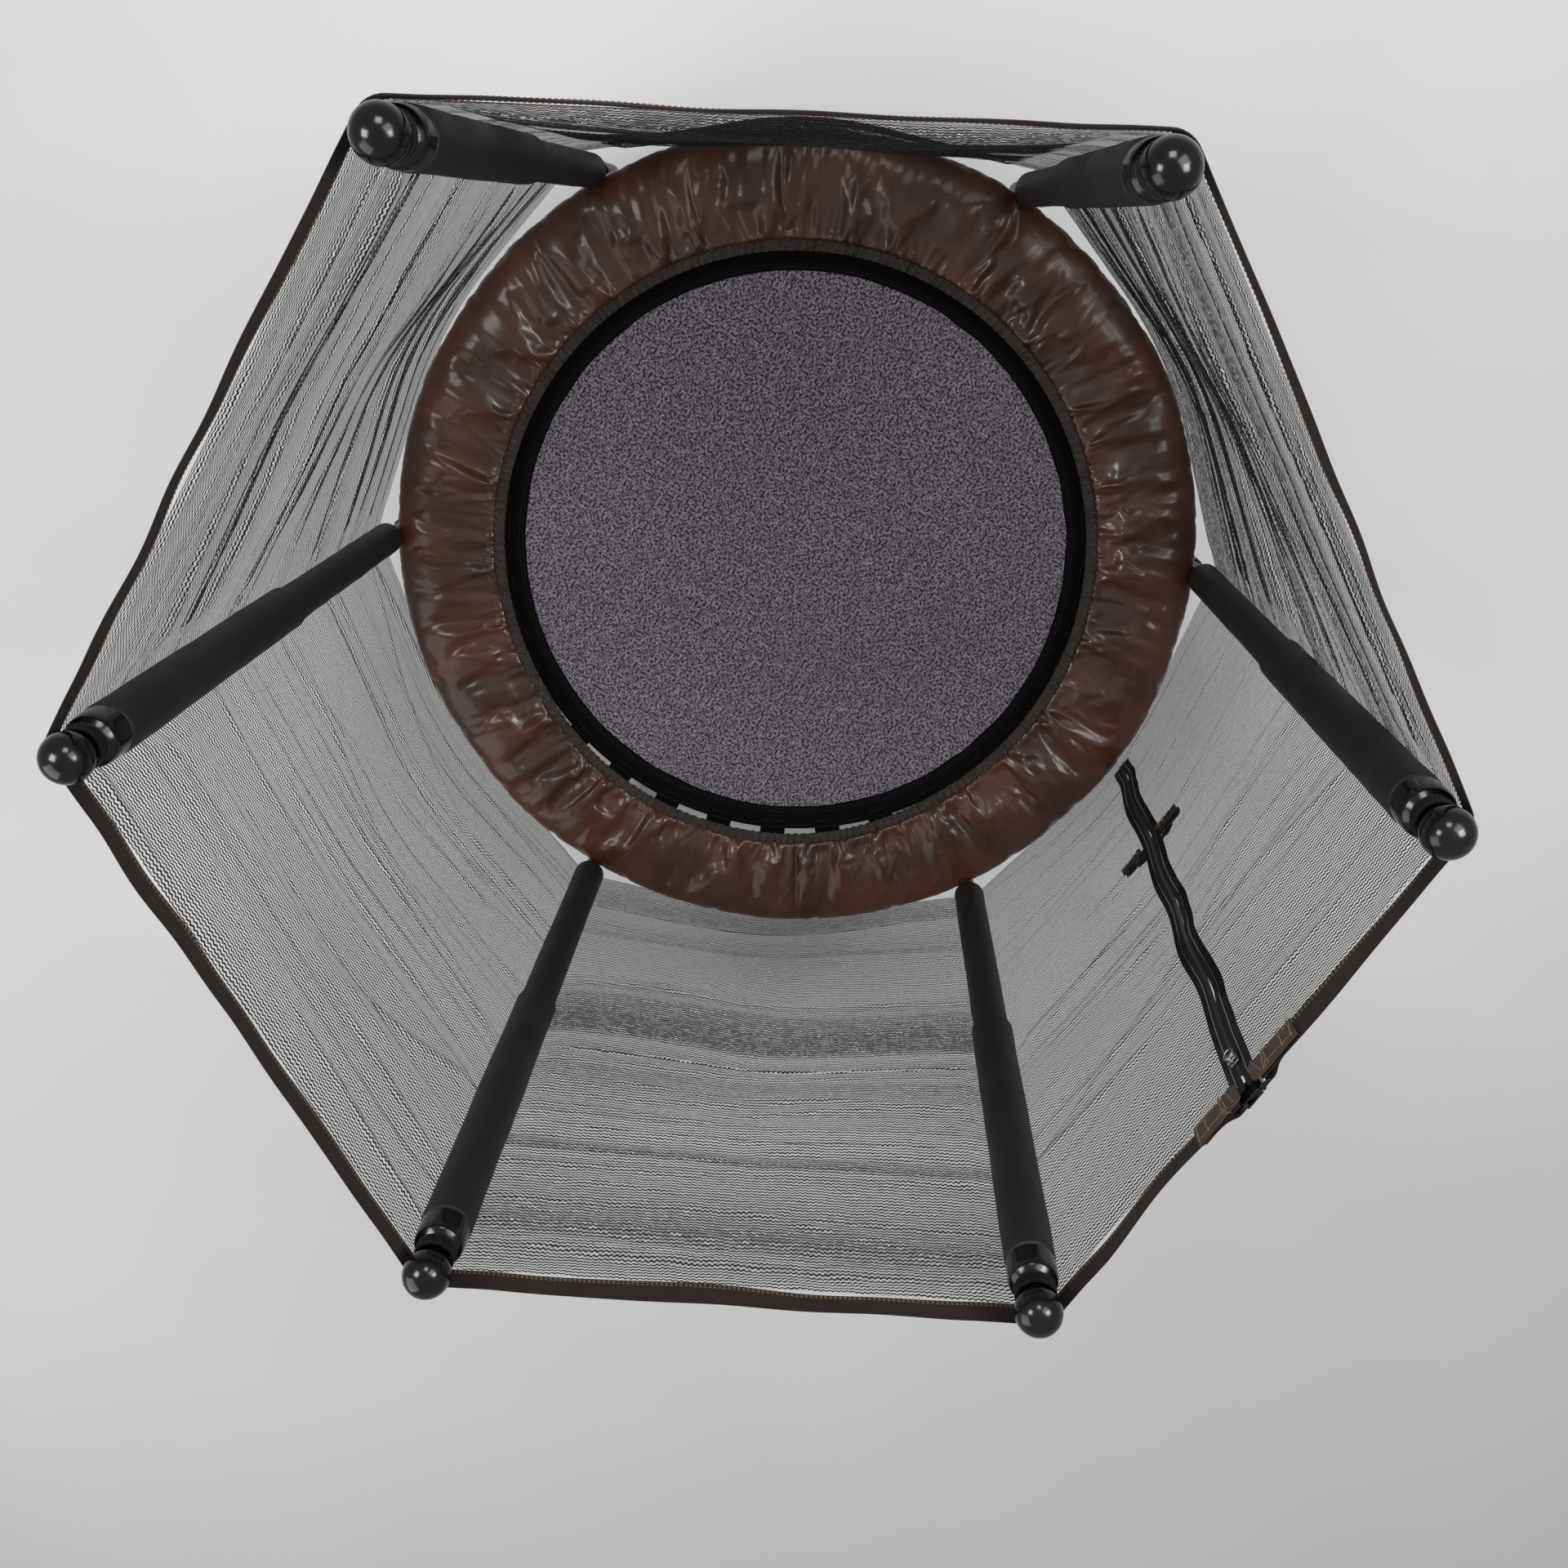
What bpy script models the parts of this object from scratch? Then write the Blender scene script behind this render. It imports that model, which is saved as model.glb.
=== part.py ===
"""Child's mini trampoline with a six-pole safety enclosure, modelled in metres, +Z up.

The origin is on the floor under the middle of the bed. The door panel faces -Y.
"""
import math

import bmesh
import bpy
from mathutils import Matrix, Vector

# ---- driving dimensions (metres, degrees) ----
SIDES = 6
FRAME_RADIUS = 0.675          # centre line of the round frame tube
FRAME_HEIGHT = 0.275          # centre of the frame tube above the floor
FRAME_TUBE = 0.0145           # tube radius
POLE_RADIUS = 0.712           # centre of every enclosure pole
POLE_TUBE = 0.0125
POLE_BORE = 0.0113
BALL_HEIGHT = 1.513           # centre of the ball on top of a pole
BALL = 0.0285
GAP = 0.0003                  # clearance kept between touching pieces

BED_HEIGHT = 0.272
BED_THICK = 0.002
BED_RADIUS = 0.476
BORDER_RADIUS = 0.520
BORDER_THICK = 0.003
TAB_COUNT = 32
TAB_WIDTH = 0.046
TAB_REACH = 0.565
SPRING_WIDTH = 0.009

FOAM_BOTTOM = 0.312
FOAM_SEAM = 0.840
LOWER_FOAM = 0.0270
UPPER_FOAM = 0.0315

NET_BOTTOM = 0.245
NET_TIE = 0.300               # height where the net leaves the padded rim
NET_TOP = 1.4565
HEM_TOP = 1.490
NET_CLEARANCE = 0.0325        # pole centre to the inner face of the net
NET_RIM = 0.7045              # inner face of the net where it passes the rim
NET_THICK = 0.0016
HEM_THICK = 0.0035
DOOR_ANGLE = 270.0
SLOT_HALF = 0.012             # half the slit behind the zip
HEM_SLOT_HALF = 0.020
DOOR_FLAT = 0.0235            # half the flat strip that the zip lies on

ZIP_HALF = 0.021
ZIP_THICK = 0.0016
COIL_HALF = 0.003
COIL_RISE = 0.0016
SLIDER_HEIGHT = 1.425
SLIDER_HALF = 0.0065
SLIDER_LENGTH = 0.018
SLIDER_PLATE = 0.0030
LUG_THICK = 0.0030
LUG_LENGTH = 0.010
LUG_RISE = 0.0075             # lug top above the slider's plate
LUG_HOLE = 0.0026
LUG_HOLE_RISE = 0.0040
PULL_RING = 0.0070            # centre line of the ring pull
PULL_WIRE = 0.0012

BUCKLE_WIDTH = 0.030
BUCKLE_THICK = 0.009
BUCKLE_STANDOFF = 0.0025      # air between a buckle and the cloth behind it
BUCKLE_FRAME = 0.004          # bars that hold the strap
SOCKET_LENGTH = 0.034
SOCKET_MOUTH = 0.024
SOCKET_MOUTH_HALF = 0.0027
PLUG_LENGTH = 0.016
PLUG_THICK = 0.0046
PRONG_LENGTH = 0.021
PRONG_WIDTH = 0.0045
GUIDE_LENGTH = 0.018
GUIDE_HALF = 0.0020
LOWER_BUCKLE_HEIGHT = 0.690
UPPER_BUCKLE_HEIGHT = 1.4735

TURN_STEPS = 12               # also keeps nested tubes aligned facet to facet
PAD_STEPS = 56

# name: (colour, roughness, metallic)
FINISHES = {
    "powder_coat": ((0.012, 0.012, 0.013, 1.0), 0.45, 0.0),
    "zinc_steel": ((0.62, 0.62, 0.60, 1.0), 0.35, 1.0),
    "foam_vinyl": ((0.022, 0.022, 0.023, 1.0), 0.62, 0.0),
    "gloss_black": ((0.008, 0.008, 0.009, 1.0), 0.16, 0.0),
    "brown_vinyl": ((0.050, 0.022, 0.016, 1.0), 0.30, 0.0),
    "bed_mesh": ((0.150, 0.130, 0.160, 1.0), 0.75, 0.0),
    "black_webbing": ((0.006, 0.006, 0.007, 1.0), 0.80, 0.0),
    "net_mesh": ((0.020, 0.020, 0.022, 1.0), 0.75, 0.0),
    "brown_hem": ((0.028, 0.013, 0.010, 1.0), 0.70, 0.0),
    "black_rubber": ((0.015, 0.015, 0.015, 1.0), 0.80, 0.0),
}


def clear_scene():
    """Remove whatever the file starts with."""
    for obj in list(bpy.data.objects):
        bpy.data.objects.remove(obj, do_unlink=True)


def make_collection(name):
    collection = bpy.data.collections.new(name)
    bpy.context.scene.collection.children.link(collection)
    return collection


def make_finish(name):
    colour, roughness, metallic = FINISHES[name]
    material = bpy.data.materials.new(name)
    material.use_nodes = True
    shader = material.node_tree.nodes["Principled BSDF"]
    shader.inputs["Base Color"].default_value = colour
    shader.inputs["Roughness"].default_value = roughness
    shader.inputs["Metallic"].default_value = metallic
    material.diffuse_color = colour
    return material


def place(obj, collection, location=(0.0, 0.0, 0.0), turn=0.0, tilt=0.0):
    """Link an object, then set its location, its tilt about X and its turn about Z."""
    collection.objects.link(obj)
    obj.location = location
    obj.rotation_euler = (tilt, 0.0, turn)
    return obj


def add_piece(name, mesh, finish, location=(0.0, 0.0, 0.0), turn=0.0, tilt=0.0):
    """Add one named sub-part with a material of its own."""
    mesh = mesh.copy()
    mesh.name = name
    mesh.materials.clear()
    mesh.materials.append(make_finish(finish))
    return place(bpy.data.objects.new(name, mesh), PARTS, location, turn, tilt)


def baked(obj):
    """Return the evaluated mesh of an object and remove the object."""
    bpy.context.view_layer.update()
    graph = bpy.context.evaluated_depsgraph_get()
    mesh = bpy.data.meshes.new_from_object(obj.evaluated_get(graph))
    mesh.transform(obj.matrix_world)
    bpy.data.objects.remove(obj, do_unlink=True)
    weld = bmesh.new()
    weld.from_mesh(mesh)
    bmesh.ops.remove_doubles(weld, verts=weld.verts, dist=1e-6)
    weld.to_mesh(mesh)
    weld.free()
    mesh.update()
    return mesh


def turned_mesh(profile, closed, steps=TURN_STEPS, sweep=360.0):
    """Spin a profile of (radius, height) points about Z with a Screw modifier."""
    mesh = bpy.data.meshes.new("profile")
    count = len(profile)
    edges = [(i, i + 1) for i in range(count - 1)]
    if closed:
        edges.append((count - 1, 0))
    mesh.from_pydata([(radius, 0.0, height) for radius, height in profile], edges, [])
    obj = place(bpy.data.objects.new("profile", mesh), GUIDES)
    screw = obj.modifiers.new("turn", "SCREW")
    screw.angle = math.radians(sweep)
    screw.steps = steps
    screw.render_steps = steps
    screw.use_merge_vertices = True
    screw.merge_threshold = 0.0001
    screw.use_smooth_shade = True
    result = baked(obj)
    result.set_sharp_from_angle(angle=math.radians(40))
    return result


def arc_tube_mesh(radius, tube, start, end, points):
    """A round tube bent on a level arc, angles in degrees, with closed square ends."""
    curve = bpy.data.curves.new("arc", "CURVE")
    curve.dimensions = "3D"
    curve.bevel_depth = tube
    curve.bevel_resolution = 2
    curve.use_fill_caps = True
    spline = curve.splines.new("POLY")
    square = 0.2
    angles = [start + (end - start) * i / (points - 1) for i in range(points)]
    angles = [start, start + square] + angles[1:-1] + [end - square, end]
    spline.points.add(len(angles) - 1)
    for point, angle in zip(spline.points, angles):
        point.co = (*polar(radius, angle), 1.0)
    return baked(place(bpy.data.objects.new("arc", curve), GUIDES))


def outline_mesh(loops, thickness):
    """A flat outline with holes, extruded half the thickness to each side of z = 0."""
    curve = bpy.data.curves.new("outline", "CURVE")
    curve.dimensions = "2D"
    curve.fill_mode = "BOTH"
    curve.extrude = thickness / 2.0
    for loop in loops:
        spline = curve.splines.new("POLY")
        spline.points.add(len(loop) - 1)
        for point, (x, y) in zip(spline.points, loop):
            point.co = (x, y, 0.0, 1.0)
        spline.use_cyclic_u = True
    return baked(place(bpy.data.objects.new("outline", curve), GUIDES))


def box_mesh(low, high):
    """An upright box between two corners."""
    cube = bmesh.new()
    bmesh.ops.create_cube(cube, size=1.0)
    size = Vector(high) - Vector(low)
    middle = (Vector(high) + Vector(low)) / 2.0
    bmesh.ops.scale(cube, vec=size, verts=cube.verts)
    bmesh.ops.translate(cube, vec=middle, verts=cube.verts)
    mesh = bpy.data.meshes.new("box")
    cube.to_mesh(mesh)
    cube.free()
    return mesh


def combined(base, others, operation):
    """Join the other meshes to a base mesh, or cut them from it."""
    obj = place(bpy.data.objects.new("base", base), GUIDES)
    helpers = []
    for mesh in others:
        helper = place(bpy.data.objects.new("cutter", mesh), GUIDES)
        helper.display_type = "WIRE"
        helper.hide_render = True
        helpers.append(helper)
        boolean = obj.modifiers.new("boolean", "BOOLEAN")
        boolean.operation = operation
        boolean.solver = "EXACT"
        boolean.object = helper
    result = baked(obj)
    for helper in helpers:
        bpy.data.objects.remove(helper, do_unlink=True)
    return result


def moved(mesh, x=0.0, y=0.0, z=0.0):
    """Shift a mesh and return it."""
    for vertex in mesh.vertices:
        vertex.co += Vector((x, y, z))
    return mesh


def polar(radius, degrees, height=0.0):
    angle = math.radians(degrees)
    return (radius * math.cos(angle), radius * math.sin(angle), height)


def corner_angles():
    """Number and angle in degrees of every pole and leg."""
    return [(i + 1, 360.0 / SIDES * i) for i in range(SIDES)]


# ---- frame, legs and feet ----

LEG_TUBE = 0.0125
LEG_TOP = FRAME_HEIGHT - 0.0255
SOCKET_BOTTOM = 0.090
SOCKET_TOP = 0.215
SOCKET_FLOOR = 0.005
POLE_OFFSET = POLE_RADIUS - FRAME_RADIUS


def spigot_mesh(degrees):
    """Collar and spigot under the frame tube, which the leg slides onto."""
    collar_top = FRAME_HEIGHT - 0.006
    spigot_bottom = LEG_TOP - 0.080
    spigot = POLE_BORE - 0.0006
    profile = [(0.0, collar_top), (0.0150, collar_top), (0.0150, LEG_TOP + GAP),
               (spigot, LEG_TOP + GAP), (spigot, spigot_bottom), (0.0, spigot_bottom)]
    x, y, _ = polar(FRAME_RADIUS, degrees)
    return moved(turned_mesh(profile, closed=False), x, y)


def build_frame_sections():
    """Three butted arcs of round tube, each carrying two leg spigots."""
    spread = 360.0 / 3
    slack = math.degrees(GAP / FRAME_RADIUS)
    for number in range(3):
        start = spread * number - 30.0 + slack
        end = start + spread - slack
        tube = moved(arc_tube_mesh(FRAME_RADIUS, FRAME_TUBE, start, end, 17), z=FRAME_HEIGHT)
        spigots = [spigot_mesh(spread * number), spigot_mesh(spread * number + 60.0)]
        section = combined(tube, spigots, "UNION")
        section.shade_smooth()
        section.set_sharp_from_angle(angle=math.radians(40))
        add_piece(f"frame_section_{number + 1}", section, "powder_coat")


def leg_mesh():
    """A hollow leg with a welded web and a pole socket, leg axis at the local origin."""
    tube = turned_mesh([(POLE_BORE, LEG_TOP), (LEG_TUBE, LEG_TOP),
                        (LEG_TUBE, 0.0085), (POLE_BORE, 0.0085)], closed=True)
    outer = POLE_TUBE + 0.0040
    bore = POLE_TUBE + GAP
    floor = SOCKET_BOTTOM + SOCKET_FLOOR
    profile = [(0.0, floor), (bore, floor), (bore, SOCKET_TOP), (outer, SOCKET_TOP),
               (outer, SOCKET_BOTTOM), (0.0, SOCKET_BOTTOM)]
    socket = moved(turned_mesh(profile, closed=False), x=POLE_OFFSET)
    wall = (POLE_BORE + LEG_TUBE) / 2.0
    web = box_mesh((wall, -0.004, SOCKET_BOTTOM + 0.005),
                   (POLE_OFFSET - outer + 0.0015, 0.004, SOCKET_TOP - 0.005))
    mesh = combined(tube, [web, socket], "UNION")
    mesh.shade_smooth()
    mesh.set_sharp_from_angle(angle=math.radians(40))
    return mesh


def build_legs():
    leg = leg_mesh()
    foot = turned_mesh([(0.0, 0.008), (LEG_TUBE + GAP, 0.008), (LEG_TUBE + GAP, 0.036),
                        (0.0160, 0.036), (0.0175, 0.0015), (0.0160, 0.0), (0.0, 0.0)],
                       closed=False)
    for number, degrees in corner_angles():
        place_at = polar(FRAME_RADIUS, degrees)
        add_piece(f"leg_{number}", leg, "powder_coat", place_at, math.radians(degrees))
        add_piece(f"foot_{number}", foot, "black_rubber", place_at, math.radians(degrees))


# ---- poles, foam sleeves and ball caps ----

POLE_JOINT = 0.870
POLE_END = BALL_HEIGHT - 0.0910
COLLAR = 0.0305
NECK = 0.0190


def ball_cap_mesh():
    """Ball, neck, rounded collar and the spigot inside the pole, in one turned shape."""
    profile = []
    arc_steps = 8
    neck_angle = math.asin(NECK / BALL)
    for i in range(arc_steps + 1):
        angle = (math.pi - neck_angle) * i / arc_steps
        profile.append((BALL * math.sin(angle), BALL_HEIGHT + BALL * math.cos(angle)))
    bottom = BALL_HEIGHT - 0.0905
    profile += [(NECK, BALL_HEIGHT - 0.046), (COLLAR - 0.004, BALL_HEIGHT - 0.050),
                (COLLAR, BALL_HEIGHT - 0.060), (COLLAR, bottom),
                (0.0090, bottom), (0.0090, bottom - 0.035), (0.0, bottom - 0.035)]
    return turned_mesh(profile, closed=False, steps=16)


def sleeve_mesh(outer, bottom, top):
    """A foam sleeve with softened ends."""
    bore = POLE_TUBE + GAP
    soft = 0.003
    profile = [(bore, top), (outer - soft, top), (outer, top - soft), (outer, bottom + soft),
               (outer - soft, bottom), (bore, bottom)]
    return turned_mesh(profile, closed=True)


def build_poles():
    lower = turned_mesh([(POLE_BORE, POLE_JOINT), (POLE_TUBE, POLE_JOINT),
                         (POLE_TUBE, SOCKET_BOTTOM + SOCKET_FLOOR + GAP),
                         (POLE_BORE, SOCKET_BOTTOM + SOCKET_FLOOR + GAP)], closed=True)
    swage = POLE_BORE - 0.0004
    inner = 0.0094
    upper = turned_mesh([(inner, POLE_END), (POLE_TUBE, POLE_END), (POLE_TUBE, POLE_JOINT + GAP),
                         (swage, POLE_JOINT + GAP), (swage, POLE_JOINT - 0.060),
                         (inner, POLE_JOINT - 0.060)], closed=True)
    foam_lower = sleeve_mesh(LOWER_FOAM, FOAM_BOTTOM, FOAM_SEAM)
    foam_upper = sleeve_mesh(UPPER_FOAM, FOAM_SEAM + GAP, POLE_END)
    ball = ball_cap_mesh()
    for number, degrees in corner_angles():
        place_at = polar(POLE_RADIUS, degrees)
        turn = math.radians(degrees)
        add_piece(f"pole_lower_{number}", lower, "powder_coat", place_at, turn)
        add_piece(f"pole_upper_{number}", upper, "powder_coat", place_at, turn)
        add_piece(f"foam_sleeve_lower_{number}", foam_lower, "foam_vinyl", place_at, turn)
        add_piece(f"foam_sleeve_upper_{number}", foam_upper, "foam_vinyl", place_at, turn)
        add_piece(f"ball_cap_{number}", ball, "gloss_black", place_at, turn)


# ---- jumping bed, springs and padded rim ----

def circle_points(radius, count):
    return [polar(radius, 360.0 * i / count)[:2] for i in range(count)]


def toothed_points(radius, reach, width, count):
    """Round outline with square teeth that reach outwards."""
    points = []
    for i in range(count):
        middle = 360.0 * (i + 0.5) / count
        for distance, side in ((radius, -1), (reach, -1), (reach, 1), (radius, 1)):
            swing = side * math.degrees(width / 2.0 / distance)
            points.append(polar(distance, middle + swing)[:2])
    return points


def build_bed():
    """The woven bed and its webbing border with one tab for every spring."""
    bed = outline_mesh([circle_points(BED_RADIUS, 64)], BED_THICK)
    add_piece("jumping_bed", bed, "bed_mesh", (0.0, 0.0, BED_HEIGHT))
    border = outline_mesh([toothed_points(BORDER_RADIUS, TAB_REACH, TAB_WIDTH, TAB_COUNT),
                           circle_points(BED_RADIUS + 4 * GAP, 64)], BORDER_THICK)
    add_piece("bed_border", border, "black_webbing", (0.0, 0.0, BED_HEIGHT))


def build_springs():
    """Stand-in for the coil springs: one bar per tab on a thin hook ring."""
    hook_ring = TAB_REACH + 0.001
    outer = FRAME_RADIUS - FRAME_TUBE - 0.003
    springs = outline_mesh([toothed_points(hook_ring + 0.003, outer, SPRING_WIDTH, TAB_COUNT),
                            circle_points(hook_ring, 64)], SPRING_WIDTH)
    add_piece("spring_set", springs, "zinc_steel", (0.0, 0.0, BED_HEIGHT))


def build_rim_pad():
    """Padded ring over the springs, its skirt hanging over the frame tube."""
    skirt_in = FRAME_RADIUS + FRAME_TUBE + 0.0025
    skirt_out = POLE_RADIUS - POLE_TUBE - 0.003
    over_tube = FRAME_HEIGHT + FRAME_TUBE + 0.001
    profile = [(0.522, 0.303), (0.560, 0.312), (0.610, 0.318), (0.655, 0.315),
               (0.684, 0.303), (skirt_out, 0.284), (skirt_out, 0.258), (skirt_in, 0.258),
               (skirt_in, over_tube - 0.004), (0.684, over_tube), (0.540, 0.293),
               (0.522, 0.297)]
    pad = turned_mesh(profile, closed=True, steps=PAD_STEPS)
    add_piece("rim_pad", pad, "brown_vinyl")


# ---- enclosure net, hem and door ----

HEXAGON_WALL = POLE_RADIUS * math.cos(math.pi / SIDES) + NET_CLEARANCE


def wall_distance(height):
    """Middle of a net panel from the axis: straight from the rim up to the hem."""
    lift = min(max((height - NET_TIE) / (NET_TOP - NET_TIE), 0.0), 1.0)
    return NET_RIM + (HEXAGON_WALL - NET_RIM) * lift


def belt_radius(offset, wall):
    """Radius of a belt stretched round the six poles and a circle of the wall's radius.

    The offset is the angle from the nearest pole in radians.
    """
    lean = math.acos(min((wall - NET_CLEARANCE) / POLE_RADIUS, 1.0))
    touch = math.atan2(NET_CLEARANCE * math.sin(lean),
                       POLE_RADIUS + NET_CLEARANCE * math.cos(lean))
    if offset <= touch:
        across = POLE_RADIUS * math.sin(offset)
        return POLE_RADIUS * math.cos(offset) + math.sqrt(NET_CLEARANCE ** 2 - across ** 2)
    if offset < lean:
        return wall / math.cos(lean - offset)
    return wall


def belt_offsets():
    """Angles in degrees from the door round to the door again, without the door itself."""
    half_sector = [0.0, 1.25, 6.0, 14.0, 22.0]
    sector = sorted([-value for value in half_sector[1:]] + half_sector + [30.0])
    turns = []
    for i in range(SIDES):
        corner = DOOR_ANGLE + 30.0 + 60.0 * i
        turns += [(corner + value, abs(value)) for value in sector]
    return turns[:-1]


def belt_sheet(name, heights, slot_half, thickness, joined_rows):
    """A thin wall round the poles, slit at the door above its joined rows."""
    sheet = bmesh.new()
    rows = []
    for height in heights:
        wall = wall_distance(height)
        row = [sheet.verts.new((x, -wall, height)) for x in (slot_half, DOOR_FLAT)]
        for degrees, offset in belt_offsets():
            radius = belt_radius(math.radians(offset), wall)
            row.append(sheet.verts.new(polar(radius, degrees, height)))
        row += [sheet.verts.new((x, -wall, height)) for x in (-DOOR_FLAT, -slot_half)]
        rows.append(row)
    for level, (low, high) in enumerate(zip(rows, rows[1:])):
        for i in range(len(low) - 1):
            sheet.faces.new((low[i], low[i + 1], high[i + 1], high[i]))
        if level < joined_rows:
            sheet.faces.new((low[-1], low[0], high[0], high[-1]))
    mesh = bpy.data.meshes.new(name)
    sheet.to_mesh(mesh)
    sheet.free()
    obj = place(bpy.data.objects.new(name, mesh), GUIDES)
    solid = obj.modifiers.new("thickness", "SOLIDIFY")
    solid.thickness = thickness
    solid.offset = 1.0
    result = baked(obj)
    result.shade_smooth()
    result.set_sharp_from_angle(angle=math.radians(40))
    return result


def build_net():
    heights = [NET_BOTTOM, NET_TIE, 0.60, 0.90, 1.20, NET_TOP]
    net = belt_sheet("net", heights, SLOT_HALF, NET_THICK, joined_rows=1)
    add_piece("enclosure_net", net, "net_mesh")
    hem = belt_sheet("hem", [NET_TOP + GAP, HEM_TOP], HEM_SLOT_HALF, HEM_THICK, joined_rows=0)
    add_piece("net_hem", hem, "brown_hem")


DOOR_RISE = NET_TOP - NET_TIE
DOOR_TILT = math.atan2(NET_RIM - HEXAGON_WALL, DOOR_RISE)


def door_point(height, inside):
    """A point on the zip line, a given distance inside the net."""
    return (0.0, -wall_distance(height) + inside, height)


def strip_mesh(outline, low, high):
    """An outline in the local X-Y plane run along local Z between two heights."""
    mesh = outline_mesh([outline], high - low)
    return moved(mesh, z=(high + low) / 2.0)


def build_zip():
    """Zip tape with its coil, the slider on it and the ring pull in the slider's lug."""
    face = ZIP_THICK + GAP
    coil = face + COIL_RISE
    tape = [(-ZIP_HALF, GAP), (ZIP_HALF, GAP), (ZIP_HALF, face), (COIL_HALF, face),
            (COIL_HALF, coil), (-COIL_HALF, coil), (-COIL_HALF, face), (-ZIP_HALF, face)]
    bottom = 0.004
    length = math.hypot(DOOR_RISE, NET_RIM - HEXAGON_WALL)
    start = door_point(NET_TIE, 0.0)
    add_piece("zip_tape", strip_mesh(tape, bottom, length), "black_webbing", start,
              tilt=-DOOR_TILT)

    at = door_point(SLIDER_HEIGHT, 0.0)
    crown = coil + 2 * GAP + SLIDER_PLATE
    add_piece("zip_slider", slider_mesh(face, coil, crown), "gloss_black", at, tilt=-DOOR_TILT)
    pivot = Vector((0.0, crown + LUG_HOLE_RISE, 0.0))
    pivot.rotate(Matrix.Rotation(-DOOR_TILT, 3, "X"))
    add_piece("zip_pull", ring_pull_mesh(), "zinc_steel", Vector(at) + pivot)


def slider_mesh(face, coil, crown):
    """Slider that straddles the coil, with a drilled lug on it, Z along the zip."""
    reach = COIL_HALF + 2 * GAP
    back = coil + 2 * GAP
    body = [(-SLIDER_HALF, face + GAP), (-reach, face + GAP), (-reach, back), (reach, back),
            (reach, face + GAP), (SLIDER_HALF, face + GAP), (SLIDER_HALF, crown),
            (-SLIDER_HALF, crown)]
    slider = strip_mesh(body, -SLIDER_LENGTH / 2.0, SLIDER_LENGTH / 2.0)
    root = crown - 0.001
    lug = box_mesh((-LUG_THICK / 2.0, root, -LUG_LENGTH / 2.0),
                   (LUG_THICK / 2.0, crown + LUG_RISE, LUG_LENGTH / 2.0))
    hole = bpy.data.meshes.new("hole")
    drill = bmesh.new()
    bmesh.ops.create_cone(drill, cap_ends=True, segments=TURN_STEPS, radius1=LUG_HOLE,
                          radius2=LUG_HOLE, depth=6 * LUG_THICK)
    bmesh.ops.rotate(drill, verts=drill.verts, matrix=Matrix.Rotation(math.radians(90.0), 3, "Y"))
    drill.to_mesh(hole)
    drill.free()
    moved(hole, y=crown + LUG_HOLE_RISE)
    return combined(combined(slider, [lug], "UNION"), [hole], "DIFFERENCE")


def ring_pull_mesh():
    """A wire ring that hangs from the local origin in the X-Z plane."""
    profile = []
    wire_steps = 8
    for i in range(wire_steps):
        angle = -2.0 * math.pi * i / wire_steps
        profile.append((PULL_RING + PULL_WIRE * math.cos(angle), PULL_WIRE * math.sin(angle)))
    mesh = turned_mesh(profile, closed=True, steps=20)
    for vertex in mesh.vertices:
        x, y, z = vertex.co
        vertex.co = (x, -z, y - PULL_RING)
    return mesh


# ---- side-release buckles ----

def socket_mesh():
    """Hollow half of a buckle, its mouth towards +X, mating plane at the local origin."""
    half = BUCKLE_WIDTH / 2.0
    skin = 0.003
    body = box_mesh((-SOCKET_LENGTH, -BUCKLE_THICK / 2.0, -half),
                    (-GAP, BUCKLE_THICK / 2.0, half))
    mouth = box_mesh((-SOCKET_MOUTH, -SOCKET_MOUTH_HALF, -half + skin),
                     (PLUG_LENGTH, SOCKET_MOUTH_HALF, half - skin))
    bar = -SOCKET_LENGTH + 0.002
    window = box_mesh((bar, -BUCKLE_THICK, -half + BUCKLE_FRAME),
                      (bar + BUCKLE_FRAME, BUCKLE_THICK, half - BUCKLE_FRAME))
    return combined(body, [mouth, window], "DIFFERENCE")


def plug_mesh():
    """Pronged half of a buckle, its prongs towards -X."""
    half = BUCKLE_WIDTH / 2.0
    prong_out = half - BUCKLE_FRAME
    prong_in = prong_out - PRONG_WIDTH
    outline = [(PLUG_LENGTH, -half), (PLUG_LENGTH, half), (0.0, half), (0.0, prong_out),
               (-PRONG_LENGTH, prong_out), (-PRONG_LENGTH, prong_in), (0.0, prong_in),
               (0.0, GUIDE_HALF), (-GUIDE_LENGTH, GUIDE_HALF), (-GUIDE_LENGTH, -GUIDE_HALF),
               (0.0, -GUIDE_HALF), (0.0, -prong_in), (-PRONG_LENGTH, -prong_in),
               (-PRONG_LENGTH, -prong_out), (0.0, -prong_out), (0.0, -half)]
    slot_start, slot_end = PLUG_LENGTH / 2.0, PLUG_LENGTH - BUCKLE_FRAME
    slot = [(slot_start, -prong_out), (slot_start, prong_out), (slot_end, prong_out),
            (slot_end, -prong_out)]
    flat = outline_mesh([outline, slot], PLUG_THICK)
    for vertex in flat.vertices:
        x, y, z = vertex.co
        vertex.co = (x, -z, y)
    return flat


def build_buckles():
    """A buckle outside the hem and one outside the zip, both closed."""
    socket = socket_mesh()
    plug = plug_mesh()
    for name, height in (("upper", UPPER_BUCKLE_HEIGHT), ("lower", LOWER_BUCKLE_HEIGHT)):
        skin = HEM_THICK if height > NET_TOP else NET_THICK
        outside = wall_distance(height) + skin + BUCKLE_THICK / 2.0 + BUCKLE_STANDOFF
        at = (PLUG_LENGTH / 2.0, -outside, height)
        add_piece(f"buckle_socket_{name}", socket, "gloss_black", at)
        add_piece(f"buckle_plug_{name}", plug, "gloss_black", at)


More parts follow.
